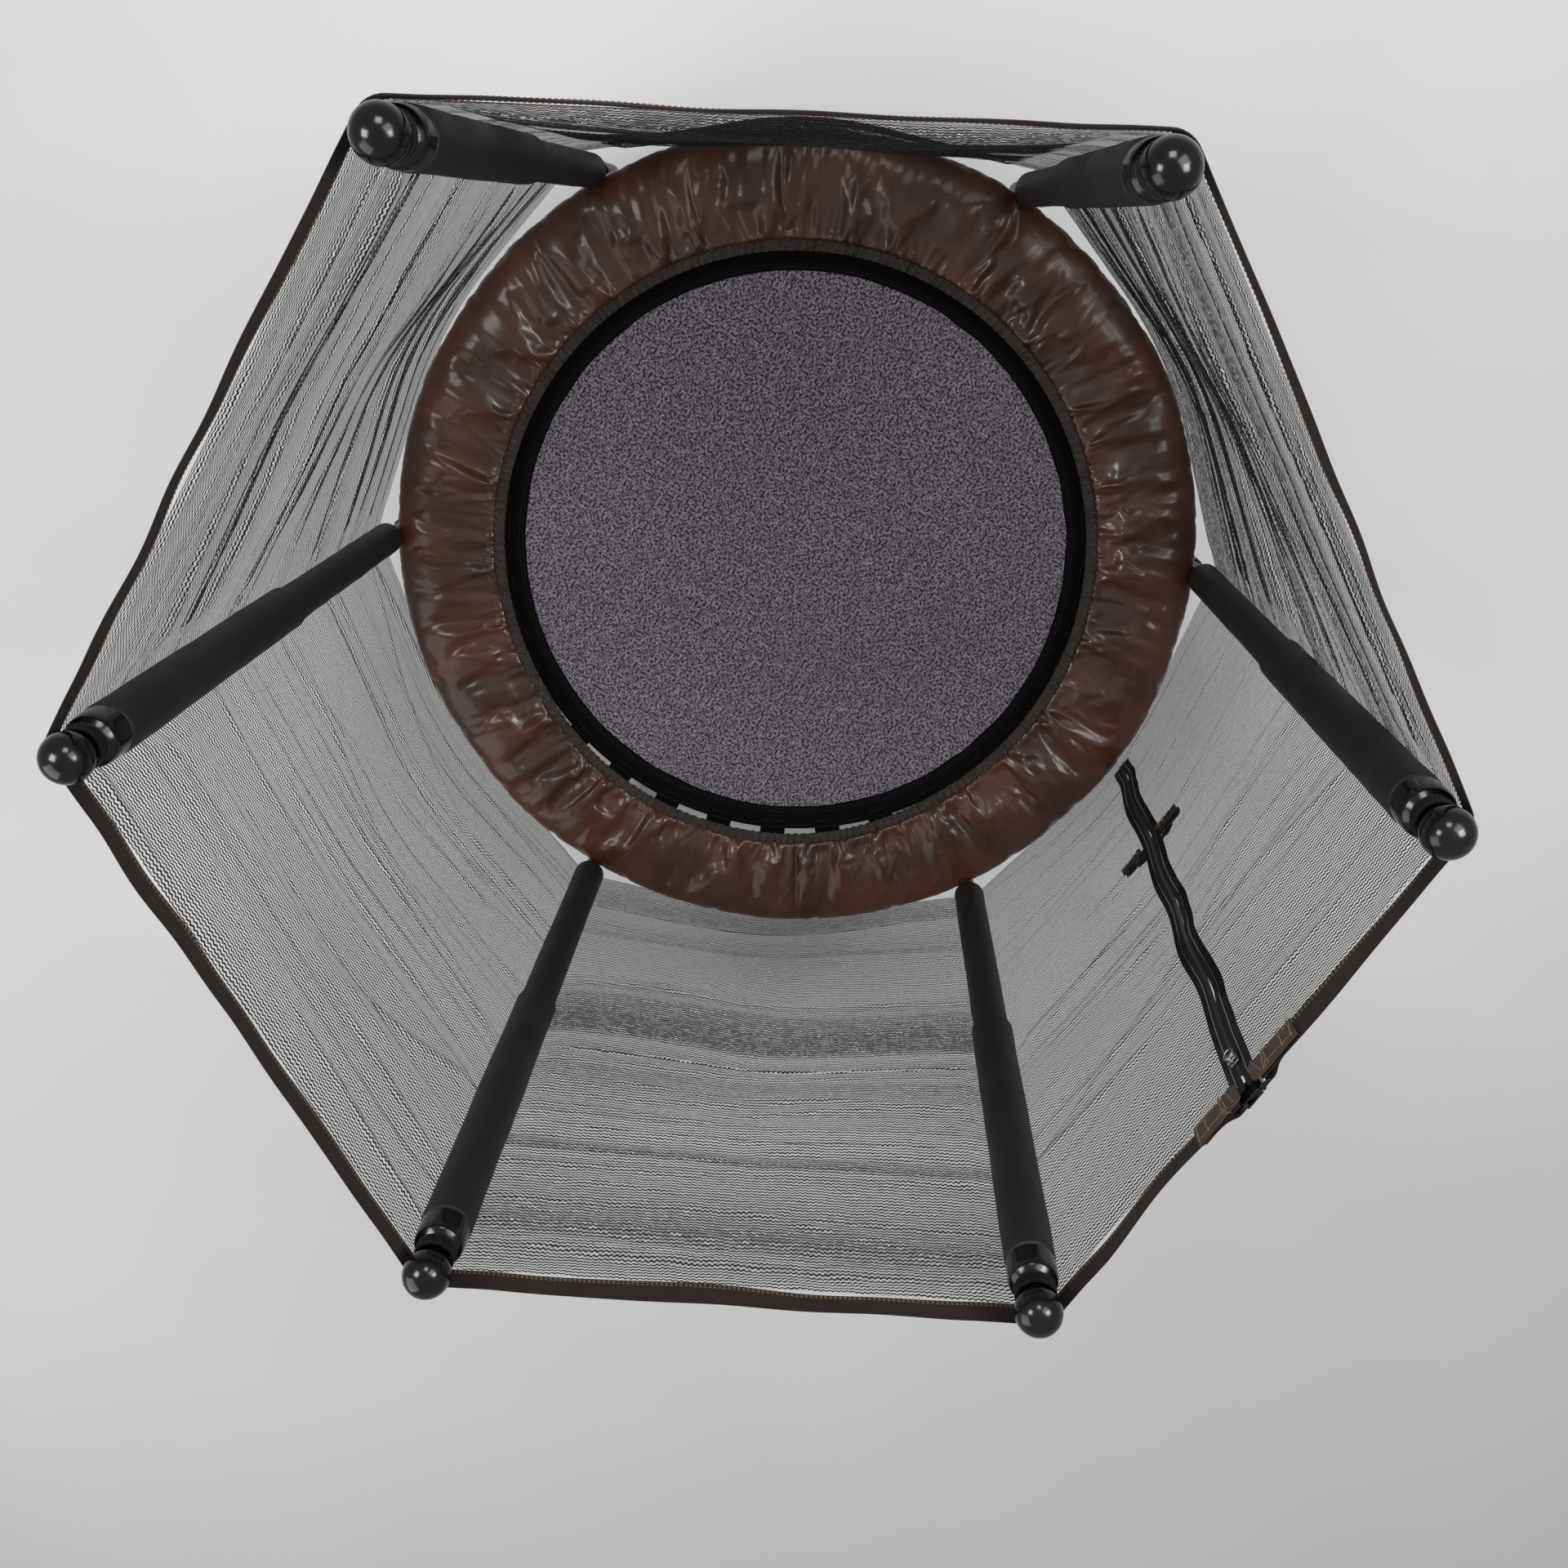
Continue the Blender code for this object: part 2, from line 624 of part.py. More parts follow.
clear_scene()
PARTS = make_collection("mini_trampoline")
GUIDES = make_collection("cutters")
build_frame_sections()
build_legs()
build_poles()
build_bed()
build_springs()
build_rim_pad()
build_net()
build_zip()
build_buckles()
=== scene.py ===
"""Looks of a child's mini trampoline with a six-pole mesh enclosure, around its CAD frame."""
import logging
import math
from collections.abc import Callable, Iterable, Sequence
from dataclasses import dataclass, field
from enum import Enum

import bmesh
import bpy
import numpy as np
from mathutils import Matrix, Vector


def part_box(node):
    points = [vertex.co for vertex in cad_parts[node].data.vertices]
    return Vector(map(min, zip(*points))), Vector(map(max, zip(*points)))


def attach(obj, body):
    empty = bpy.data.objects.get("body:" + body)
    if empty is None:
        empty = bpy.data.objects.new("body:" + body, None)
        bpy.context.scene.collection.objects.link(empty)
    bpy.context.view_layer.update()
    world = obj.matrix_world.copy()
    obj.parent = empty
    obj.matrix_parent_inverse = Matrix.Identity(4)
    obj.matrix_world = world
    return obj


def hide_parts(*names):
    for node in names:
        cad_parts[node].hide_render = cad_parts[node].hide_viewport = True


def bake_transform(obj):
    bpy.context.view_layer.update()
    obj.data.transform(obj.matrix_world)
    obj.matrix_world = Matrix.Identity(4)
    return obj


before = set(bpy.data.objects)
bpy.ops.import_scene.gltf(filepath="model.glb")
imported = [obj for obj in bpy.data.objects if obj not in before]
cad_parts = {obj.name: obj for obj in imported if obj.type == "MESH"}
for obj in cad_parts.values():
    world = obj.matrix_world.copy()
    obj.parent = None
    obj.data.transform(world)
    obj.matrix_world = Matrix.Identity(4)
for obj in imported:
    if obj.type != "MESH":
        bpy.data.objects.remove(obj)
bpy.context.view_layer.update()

Array = np.ndarray
Piece = bpy.types.Object
Socket = bpy.types.NodeSocket
Value = float | tuple | Socket
Colour = tuple[float, float, float, float]

LOG = logging.getLogger("trampoline")
TAU = 2.0 * math.pi
UP = (0.0, 0.0, 1.0)
SHARP = math.radians(50)  # edges steeper than this are shaded sharp
WELD = 1e-6               # points closer than this, in metres, are one


class Body(str, Enum):
    """The CAD bodies that pieces ride on."""

    FRAME = "trampoline"
    BED = "bed"
    SLIDER = "slider"
    PULL = "pull"
    PLUG_UPPER = "plug_upper"
    PLUG_LOWER = "plug_lower"


# ---- mesh helpers


def smoothstep(values: Array | float) -> Array:
    """Ease a value from 0 to 1 with flat ends."""
    held = np.clip(values, 0.0, 1.0)
    return held * held * (3.0 - 2.0 * held)


def polar(radius: float, angle: float, height: float = 0.0) -> Vector:
    """Point at a radius and an angle in radians."""
    return Vector((radius * math.cos(angle), radius * math.sin(angle), height))


def spokes(angle: float) -> tuple[Array, Array]:
    """Outward and sideways unit directions at an angle."""
    return np.array(polar(1.0, angle)), np.array(polar(1.0, angle + math.pi / 2))


def around_axis(radius: Array, turn: Array, height: Array) -> Array:
    """Points at radii, angles and heights."""
    return np.stack([radius * np.cos(turn), radius * np.sin(turn), height], axis=-1)


def wrapped(angle: Array) -> Array:
    """The same angle, between minus and plus half a turn."""
    return np.angle(np.exp(1j * angle))


def run_lengths(path: Array, closed: bool = False) -> Array:
    """Distance along a path at its points, and once more back at the start of a closed one."""
    steps = np.linalg.norm(np.diff(path, axis=0), axis=1)
    along = np.concatenate([[0.0], np.cumsum(steps), [steps.sum() + steps.mean()]])
    return along[: len(path) + closed]


def headings(path: Array, closed: bool) -> Array:
    """Direction of a path at its points, not yet of unit length."""
    if closed:
        return np.roll(path, -1, axis=0) - np.roll(path, 1, axis=0)
    return np.gradient(path, axis=0)


def resample(line: Array, count: int) -> Array:
    """Points at equal steps along an open line."""
    along = run_lengths(line)
    at = np.linspace(0.0, along[-1], count)
    return np.stack([np.interp(at, along, line[:, k]) for k in range(line.shape[1])], axis=1)


def get_points(obj: Piece) -> Array:
    """Vertex positions of a mesh object, one row each."""
    points = np.empty(len(obj.data.vertices) * 3)
    obj.data.vertices.foreach_get("co", points)
    return points.reshape(-1, 3)


def set_points(obj: Piece, points: Array) -> None:
    """Move the vertices of a mesh object."""
    obj.data.vertices.foreach_set("co", points.ravel())
    obj.data.update()


def mesh_object(name: str, points: Array, faces: Sequence[Sequence[int]]) -> Piece:
    """Make a smooth-shaded mesh object from vertex rows and the vertex numbers of each face."""
    mesh = bpy.data.meshes.new(name)
    mesh.from_pydata([tuple(p) for p in points.reshape(-1, 3)], [], faces)
    mesh.shade_smooth()
    obj = bpy.data.objects.new(name, mesh)
    bpy.context.scene.collection.objects.link(obj)
    return obj


def grid_object(
    name: str,
    points: Array,
    uv: Array | None = None,
    wrap_rows: bool = False,
    wrap_columns: bool = False,
) -> Piece:
    """Make a quad surface from rows and columns of points.

    Args:
        name: Name of the object.
        points: Array of rows, columns and coordinates.
        uv: Array like points with two values, one longer along each wrapped side.
        wrap_rows: Join the last row to the first.
        wrap_columns: Join the last column to the first.

    Returns:
        The linked object.
    """
    rows, columns = points.shape[:2]
    row_faces, column_faces = rows - (not wrap_rows), columns - (not wrap_columns)
    r, c = np.meshgrid(np.arange(row_faces), np.arange(column_faces), indexing="ij")
    corners = [(r, c), (r, c + 1), (r + 1, c + 1), (r + 1, c)]
    faces = np.stack([(a % rows) * columns + b % columns for a, b in corners], axis=-1)
    obj = mesh_object(name, points, faces.reshape(-1, 4).tolist())
    if uv is not None:
        layer = obj.data.uv_layers.new(name="cloth")
        values = np.stack([uv[a, b] for a, b in corners], axis=-2)
        layer.data.foreach_set("uv", values.astype(np.float32).ravel())
    return obj


def lathe(name: str, profile: Sequence[tuple[float, float]], steps: int, centre: Vector) -> Piece:
    """Turn a profile of radius and height, listed top to bottom, about a vertical axis."""
    line = np.array(profile)
    angles = np.arange(steps) * TAU / steps
    radius, height = line[:, 0][:, None], line[:, 1][:, None]
    points = np.stack([centre.x + radius * np.cos(angles), centre.y + radius * np.sin(angles),
                       centre.z + height + 0.0 * angles], axis=-1)
    along = run_lengths(line)
    around = np.arange(steps + 1) * TAU / steps * float(line[:, 0].max())
    uv = np.stack(np.broadcast_arrays(around[None, :], -along[:, None]), axis=-1)
    obj = grid_object(name, points[::-1], uv[::-1], wrap_columns=True)
    weld(obj, WELD)
    obj.data.set_sharp_from_angle(angle=math.radians(42))
    return obj


def weld(obj: Piece, distance: float) -> None:
    """Merge vertices that lie together."""
    cage = bmesh.new()
    cage.from_mesh(obj.data)
    bmesh.ops.remove_doubles(cage, verts=cage.verts, dist=distance)
    cage.to_mesh(obj.data)
    cage.free()


def rounded(points: Sequence[tuple[float, float]], radius: float, steps: int = 4) -> list:
    """Round the inner corners of an open outline.

    Args:
        points: Outline corners in order.
        radius: Length cut from each side of a corner.
        steps: Segments in each rounding.

    Returns:
        The outline with its corners replaced by curves.
    """
    result = [tuple(points[0])]
    for before, at, after in zip(points, points[1:], points[2:]):
        a, b, c = Vector(before), Vector(at), Vector(after)
        cut = min(radius, (a - b).length / 2.0, (c - b).length / 2.0)
        start, end = b + (a - b).normalized() * cut, b + (c - b).normalized() * cut
        for i in range(steps + 1):
            t = i / steps
            point = start.lerp(b, t).lerp(b.lerp(end, t), t)
            result.append((point.x, point.y))
    result.append(tuple(points[-1]))
    return result


def frames_along(path: Array, closed: bool) -> tuple[Array, Array]:
    """Side and up directions carried along a path without twist."""
    tangents = headings(path, closed)
    tangents /= np.linalg.norm(tangents, axis=1)[:, None]
    helper = np.eye(3)[int(np.abs(tangents[0]).argmin())]
    side = np.cross(tangents[0], helper)
    sides = []
    for tangent in tangents:
        side = side - tangent * float(side @ tangent)
        side = side / np.linalg.norm(side)
        sides.append(side)
    sides = np.array(sides)
    return sides, np.cross(tangents, sides)


def tube(name: str, path: Array, radius: float, sides: int = 10, closed: bool = False) -> Piece:
    """Sweep a circle along a path, with end caps on an open one."""
    side, up = frames_along(path, closed)
    ring = np.arange(sides) * TAU / sides
    wheel = np.cos(ring)[None, :, None] * side[:, None, :]
    wheel = wheel + np.sin(ring)[None, :, None] * up[:, None, :]
    points = path[:, None, :] + radius * wheel
    around = np.arange(sides + 1) * TAU / sides * radius
    uv = np.stack(np.broadcast_arrays(around[None, :], run_lengths(path, closed)[:, None]), axis=-1)
    obj = grid_object(name, points, uv, wrap_rows=closed, wrap_columns=True)
    if not closed:
        close_holes(obj)
    return obj


def ribbon(
    name: str,
    path: Array,
    across: Array,
    width: float,
    thickness: float,
    closed: bool = False,
    lanes: int = 4,
) -> Piece:
    """Sweep a flat strap along a path.

    Args:
        name: Name of the object.
        path: Points along the middle of the strap.
        across: Unit direction of the strap's width at each point.
        width: Strap width.
        thickness: Strap thickness.
        closed: Whether the strap is an endless loop.
        lanes: Columns of faces over the width.

    Returns:
        The strap, its UV in metres along X and across Y.
    """
    face = np.cross(headings(path, closed), across)
    face /= np.linalg.norm(face, axis=1)[:, None]
    share = np.linspace(-0.5, 0.5, lanes + 1)
    edge = np.where(np.abs(share) > 0.49, 0.35, 1.0) * thickness / 2.0
    outline = [(s * width, h) for s, h in zip(share, edge)]
    outline += [(s * width, -h) for s, h in zip(share[::-1], edge[::-1])]
    section = np.array(outline)
    points = path[:, None, :] + section[None, :, :1] * across[:, None, :]
    points = points + section[None, :, 1:] * face[:, None, :]
    over = np.concatenate([section[:, 0], section[:1, 0]])
    uv = np.stack(np.broadcast_arrays(run_lengths(path, closed)[:, None], over[None, :]), axis=-1)
    obj = grid_object(name, points, uv, wrap_rows=closed, wrap_columns=True)
    if not closed:
        close_holes(obj)
    return obj


def close_holes(obj: Piece) -> None:
    """Fill the open ends of a swept shape and turn all faces outwards."""
    cage = bmesh.new()
    cage.from_mesh(obj.data)
    rim = [edge for edge in cage.edges if edge.is_boundary]
    bmesh.ops.edgeloop_fill(cage, edges=rim)
    bmesh.ops.recalc_face_normals(cage, faces=cage.faces)
    cage.to_mesh(obj.data)
    cage.free()
    obj.data.set_sharp_from_angle(angle=SHARP)


def joined(name: str, objects: Sequence[Piece]) -> Piece:
    """Join mesh objects into the first one and rename it."""
    with bpy.context.temp_override(active_object=objects[0], selected_editable_objects=objects,
                                   selected_objects=objects):
        bpy.ops.object.join()
    objects[0].name = name
    objects[0].data.name = name
    return objects[0]


def with_modifier(obj: Piece, kind: str, **values: object) -> None:
    """Add a modifier and apply it at once."""
    modifier = obj.modifiers.new(kind.lower(), kind)
    for key, value in values.items():
        setattr(modifier, key, value)
    apply_modifiers(obj)


def apply_modifiers(obj: Piece) -> None:
    """Replace an object's mesh with its evaluated one and clear its modifiers."""
    bpy.context.view_layer.update()
    graph = bpy.context.evaluated_depsgraph_get()
    mesh = bpy.data.meshes.new_from_object(obj.evaluated_get(graph))
    obj.modifiers.clear()
    obj.shape_key_clear()
    obj.data = mesh


def block(name: str, low: Sequence[float], high: Sequence[float], bevel: float) -> Piece:
    """A box between two corners with rounded edges."""
    cage = bmesh.new()
    bmesh.ops.create_cube(cage, size=1.0)
    size, middle = Vector(high) - Vector(low), (Vector(high) + Vector(low)) / 2.0
    bmesh.ops.scale(cage, vec=size, verts=cage.verts)
    bmesh.ops.translate(cage, vec=middle, verts=cage.verts)
    bmesh.ops.bevel(
        cage, geom=cage.edges[:], offset=bevel, segments=3, profile=0.6, affect="EDGES"
    )
    mesh = bpy.data.meshes.new(name)
    cage.to_mesh(mesh)
    cage.free()
    mesh.shade_smooth()
    mesh.set_sharp_from_angle(angle=SHARP)
    obj = bpy.data.objects.new(name, mesh)
    bpy.context.scene.collection.objects.link(obj)
    return obj


@dataclass(frozen=True)
class Stitch:
    """Distance from stitch to stitch, length of one, and thread radius."""

    pitch: float
    length: float
    radius: float


NECK_STITCH = Stitch(0.0042, 0.0028, 0.00034)
BORDER_STITCH = Stitch(0.0065, 0.0045, 0.0004)
TAB_STITCH = Stitch(0.0042, 0.0030, 0.0004)
RUFFLE_STITCH = Stitch(0.0060, 0.0040, 0.0004)
HEM_STITCH = Stitch(0.0058, 0.0040, 0.00042)
TIE_STITCH = Stitch(0.0036, 0.0026, 0.00035)
ZIP_STITCH = Stitch(0.0045, 0.0041, 0.00058)
DOOR_CROSS_STITCH = Stitch(0.0040, 0.0040, 0.00050)
DOOR_LONG_STITCH = Stitch(0.0046, 0.0036, 0.00045)


def stitch_row(name: str, path: Array, lift: Array, stitch: Stitch) -> Piece:
    """Separate thread stitches that arch over a line.

    Args:
        name: Name of the object.
        path: Closely spaced points along the seam.
        lift: Outward direction of the cloth at each point.
        stitch: Sizes of the stitches.

    Returns:
        One mesh that holds every stitch.
    """
    along, radius = run_lengths(path), stitch.radius
    stations = np.linspace(-0.5, 0.5, 5)
    ring = np.arange(5) * TAU / 5
    points, faces = [], []
    for start in np.arange(stitch.pitch / 2.0, along[-1] - stitch.length / 2.0, stitch.pitch):
        at = start + stations * stitch.length
        line = np.stack([np.interp(at, along, path[:, k]) for k in range(3)], axis=1)
        out = np.stack([np.interp(at, along, lift[:, k]) for k in range(3)], axis=1)
        line = line + out * (radius * 1.6 * (1.0 - (2.0 * stations) ** 2))[:, None]
        run = (line[-1] - line[0]) / np.linalg.norm(line[-1] - line[0])
        side = np.cross(run, out[2])
        side /= np.linalg.norm(side)
        swell = radius * np.array([0.45, 0.95, 1.0, 0.95, 0.45])
        base = len(points)
        for centre, up, size in zip(line, out, swell):
            for angle in ring:
                points.append(centre + size * (math.cos(angle) * side + math.sin(angle) * up))
        for row in range(4):
            for k in range(5):
                low, high = base + row * 5, base + (row + 1) * 5
                faces.append((low + k, low + (k + 1) % 5, high + (k + 1) % 5, high + k))
        faces.append(tuple(base + k for k in reversed(range(5))))
        faces.append(tuple(base + 20 + k for k in range(5)))
    return mesh_object(name, np.array(points), faces)


# ---- shader helpers


class Graph:
    """Short calls for placing and linking nodes in one tree."""

    def __init__(self, tree: bpy.types.NodeTree) -> None:
        """Keep the tree that the nodes go into."""
        self.tree = tree

    def node(self, kind: str, inputs: dict | None = None, **settings: object) -> bpy.types.Node:
        """Add a node.

        Args:
            kind: Node type name.
            inputs: Socket names or numbers with their value or the socket that feeds them.
            settings: Node properties.

        Returns:
            The new node.
        """
        node = self.tree.nodes.new(kind)
        for key, value in settings.items():
            setattr(node, key, value)
        self.fill(node, inputs or {})
        return node

    def fill(self, node: bpy.types.Node, values: dict) -> None:
        """Feed several inputs of a node, by socket name or number."""
        for key, value in values.items():
            self.feed(node.inputs[key], value)

    def feed(self, target: Socket, value: Value) -> None:
        """Link a socket to an input, or set the input's value."""
        if isinstance(value, Socket):
            self.tree.links.new(value, target)
        else:
            target.default_value = value

    def math(self, operation: str, *values: Value) -> Socket:
        """Output of a Math node."""
        node = self.node("ShaderNodeMath", dict(enumerate(values)), operation=operation)
        return node.outputs[0]

    def times(self, first: Value, second: Value) -> Socket:
        """Product of two values."""
        return self.math("MULTIPLY", first, second)

    def plus(self, first: Value, second: Value) -> Socket:
        """Sum of two values."""
        return self.math("ADD", first, second)

    def minus(self, first: Value, second: Value) -> Socket:
        """Difference of two values."""
        return self.math("SUBTRACT", first, second)

    def noise(self, vector: Socket, scale: float, detail: float = 3.0) -> Socket:
        """Value of a Noise texture."""
        inputs = {"Vector": vector, "Scale": scale, "Detail": detail}
        return self.node("ShaderNodeTexNoise", inputs).outputs[0]

    def remap(self, value: Socket, low: float, high: float, to_low: float, to_high: float) -> Socket:
        """Value eased from one range to another."""
        inputs = {0: value, 1: low, 2: high, 3: to_low, 4: to_high}
        node = self.node("ShaderNodeMapRange", inputs, interpolation_type="SMOOTHSTEP")
        return node.outputs[0]

    def mix(self, factor: Value, first: Value, second: Value) -> Socket:
        """Colour between two colours."""
        node = self.node("ShaderNodeMix", {0: factor, 6: first, 7: second}, data_type="RGBA")
        return node.outputs[2]

    def bump(self, height: Socket, distance: float, strength: float = 1.0) -> Socket:
        """Normal from a height."""
        inputs = {"Height": height, "Distance": distance, "Strength": strength}
        return self.node("ShaderNodeBump", inputs).outputs[0]

    def place(self) -> Socket:
        """Object coordinates, in metres."""
        return self.node("ShaderNodeTexCoord").outputs["Object"]

    def cloth(self) -> Socket:
        """UV coordinates, in metres along the cloth."""
        return self.node("ShaderNodeTexCoord").outputs["UV"]


FLOAT, COLOUR, VECTOR = "NodeSocketFloat", "NodeSocketColor", "NodeSocketVector"


@dataclass(frozen=True)
class Effect:
    """Shader node group that finishes share, made once.

    inputs holds the name, socket kind and default of each input, outputs the name and socket kind
    of each output, and wire the function that places the nodes and returns a socket per output.
    """

    name: str
    inputs: tuple[tuple[str, str, float], ...]
    outputs: tuple[tuple[str, str], ...]
    wire: Callable[[Graph, dict[str, Socket]], dict[str, Socket]]

    def tree(self) -> bpy.types.NodeTree:
        """Build the node tree on the first call and return the same one afterwards."""
        if self.name in bpy.data.node_groups:
            return bpy.data.node_groups[self.name]
        tree = bpy.data.node_groups.new(self.name, "ShaderNodeTree")
        for label, kind, default in self.inputs:
            made = tree.interface.new_socket(label, in_out="INPUT", socket_type=kind)
            if kind == FLOAT:
                made.default_value = default
        for label, kind in self.outputs:
            tree.interface.new_socket(label, in_out="OUTPUT", socket_type=kind)
        graph = Graph(tree)
        entry = graph.node("NodeGroupInput")
        results = self.wire(graph, {label: entry.outputs[label] for label, _, _ in self.inputs})
        leave = graph.node("NodeGroupOutput")
        for label, socket in results.items():
            tree.links.new(socket, leave.inputs[label])
        return tree

    def place(self, graph: Graph, values: dict[str, Value]) -> dict[str, Socket]:
        """Place the group with its values and return its outputs by name."""
        node = graph.node("ShaderNodeGroup", node_tree=self.tree())
        graph.fill(node, values)
        return {output.name: output for output in node.outputs}


def wire_weave(graph: Graph, given: dict[str, Socket]) -> dict[str, Socket]:
    """Plain weave: two sets of threads that pass over each other in turn."""
    parts = graph.node("ShaderNodeSeparateXYZ", {0: given["Vector"]}).outputs
    across = graph.math("SINE", graph.times(parts[0], given["Threads"]))
    along = graph.math("SINE", graph.times(parts[1], given["Threads"]))
    turn = graph.times(graph.times(across, along), 0.5)
    warp = graph.times(graph.math("ABSOLUTE", across), graph.plus(0.7, turn))
    weft = graph.times(graph.math("ABSOLUTE", along), graph.minus(0.7, turn))
    height = graph.math("MAXIMUM", warp, weft)
    hole = graph.remap(height, 0.12, 0.42, 1.0, 0.0)
    return {"Height": height, "Hole": hole}


# Threads is pi times the threads in a metre.
WEAVE = Effect(
    "plain_weave",
    (("Vector", VECTOR, 0.0), ("Threads", FLOAT, 1500.0)),
    (("Height", FLOAT), ("Hole", FLOAT)),
    wire_weave,
)


def wire_net(graph: Graph, given: dict[str, Socket]) -> dict[str, Socket]:
    """Knitted net: rows of wavy yarn tied by thin upright threads."""
    parts = graph.node("ShaderNodeSeparateXYZ", {0: given["Vector"]}).outputs
    drift = graph.noise(given["Vector"], 26.0, 2.0)
    sway = graph.times(graph.minus(drift, 0.5), 0.010)
    wave = graph.math("SINE", graph.times(parts[0], given["Wave"]))
    raised = graph.plus(parts[1], graph.times(wave, given["Swing"]))
    rows = graph.math("FRACT", graph.math("DIVIDE", graph.plus(raised, sway), given["Row"]))
    from_row = graph.math("ABSOLUTE", graph.minus(rows, 0.5))
    wear = graph.times(graph.minus(graph.noise(given["Vector"], 90.0), 0.5), 0.12)
    edge = graph.minus(graph.times(given["Cover"], 0.5), wear)
    yarn = graph.remap(graph.minus(from_row, edge), -0.05, 0.05, 1.0, 0.0)
    slip = graph.times(drift, 9.0)
    slipped = graph.math("FRACT", graph.plus(graph.math("DIVIDE", raised, given["Row"]), slip))
    from_second = graph.math("ABSOLUTE", graph.minus(slipped, 0.5))
    second = graph.remap(graph.minus(from_second, 0.36), -0.08, 0.10, 1.0, 0.25)
    second = graph.times(second, graph.math("MINIMUM", given["Doubled"], 1.0))
    column = graph.math("FRACT", graph.math("DIVIDE", parts[0], given["Column"]))
    from_column = graph.math("ABSOLUTE", graph.minus(column, 0.5))
    tie = graph.times(graph.remap(from_column, 0.07, 0.15, 1.0, 0.0), 0.38)
    cover = graph.math("MAXIMUM", graph.math("MAXIMUM", yarn, tie), second)
    round_yarn = graph.minus(0.5, from_row)
    return {"Cover": cover, "Height": round_yarn}


# Row, Column and Swing are in metres.
KNIT = Effect(
    "knitted_net",
    (("Vector", VECTOR, 0.0), ("Row", FLOAT, 0.0065), ("Column", FLOAT, 0.0045),
     ("Wave", FLOAT, 880.0), ("Swing", FLOAT, 0.0011), ("Cover", FLOAT, 0.42),
     ("Doubled", FLOAT, 0.0)),
    (("Cover", FLOAT), ("Height", FLOAT)),
    wire_net,
)


def wire_dust(graph: Graph, given: dict[str, Socket]) -> dict[str, Socket]:
    """Handling marks: cloudy dust, more of it on faces that look up."""
    cloud = graph.remap(graph.noise(given["Vector"], 14.0, 6.0), 0.42, 0.72, 0.0, 1.0)
    speck = graph.remap(graph.noise(given["Vector"], 420.0, 2.0), 0.62, 0.72, 0.0, 1.0)
    facing = graph.node("ShaderNodeNewGeometry").outputs["Normal"]
    up = graph.node("ShaderNodeSeparateXYZ", {0: facing}).outputs[2]
    upward = graph.remap(up, 0.1, 1.0, 0.25, 1.0)
    both = graph.times(graph.math("MAXIMUM", cloud, speck), upward)
    mask = graph.times(both, given["Amount"])
    colour = graph.mix(mask, given["Colour"], given["Dust"])
    rough = graph.plus(given["Roughness"], graph.times(mask, 0.4))
    return {"Colour": colour, "Roughness": rough, "Mask": mask}


HANDLING = Effect(
    "dust_and_handling",
    (("Vector", VECTOR, 0.0), ("Colour", COLOUR, 0.0), ("Dust", COLOUR, 0.0),
     ("Roughness", FLOAT, 0.5), ("Amount", FLOAT, 0.3)),
    (("Colour", COLOUR), ("Roughness", FLOAT), ("Mask", FLOAT)),
    wire_dust,
)


def wire_grain(graph: Graph, given: dict[str, Socket]) -> dict[str, Socket]:
    """Fine pebbled skin with a slow unevenness under it."""
    cells = graph.node(
        "ShaderNodeTexVoronoi", {"Vector": given["Vector"], "Scale": given["Scale"]}
    ).outputs["Distance"]
    slow = graph.noise(given["Vector"], 38.0, 4.0)
    fine = graph.times(cells, given["Fine"])
    height = graph.plus(fine, graph.times(slow, given["Slow"]))
    return {"Height": height}


GRAIN = Effect(
    "skin_grain",
    (("Vector", VECTOR, 0.0), ("Scale", FLOAT, 900.0), ("Fine", FLOAT, 0.3), ("Slow", FLOAT, 1.0)),
    (("Height", FLOAT),),
    wire_grain,
)


def colour(red: float, green: float, blue: float) -> Colour:
    """Opaque linear colour."""
    return (red, green, blue, 1.0)


DUST = colour(0.30, 0.28, 0.25)


@dataclass(frozen=True)
class Finish:
    """Base of every finish: a Principled material made once and found by name."""

    name: str
    base: Colour
    roughness: float = 0.5
    metallic: float = 0.0

    def material(self) -> bpy.types.Material:
        """Return the finish's material, made on the first call."""
        name = f"finish_{self.name}"
        if name in bpy.data.materials:
            return bpy.data.materials[name]
        made = bpy.data.materials.new(name)
        made.use_nodes = True
        graph = Graph(made.node_tree)
        shader = made.node_tree.nodes["Principled BSDF"]
        graph.fill(shader, {"Base Color": self.base, "Roughness": self.roughness,
                            "Metallic": self.metallic})
        self.dress(graph, shader)
        return made

    def dress(self, graph: Graph, shader: bpy.types.Node) -> None:
        """Add the finish's own nodes."""


@dataclass(frozen=True)
class Skin(Finish):
    """Moulded or coated surface with grain and dust."""

    grain_scale: float = 900.0
    fine: float = 0.3
    slow: float = 1.0
    depth: float = 0.0004
    dust: float = 0.2
    coat: float = 0.0
    coat_roughness: float = 0.1
    coat_ior: float = 1.5

    def dress(self, graph: Graph, shader: bpy.types.Node) -> None:
        """Grain in the normal, dust in the colour and the roughness."""
        at = graph.place()
        dust = HANDLING.place(graph, {"Vector": at, "Colour": self.base, "Dust": DUST,
                                      "Roughness": self.roughness, "Amount": self.dust})
        grain = GRAIN.place(graph, {"Vector": at, "Scale": self.grain_scale, "Fine": self.fine,
                                    "Slow": self.slow})
        graph.fill(shader, {
            "Base Color": dust["Colour"], "Roughness": dust["Roughness"],
            "Normal": graph.bump(grain["Height"], self.depth), "Coat Weight": self.coat,
            "Coat Roughness": self.coat_roughness, "Coat IOR": self.coat_ior,
        })


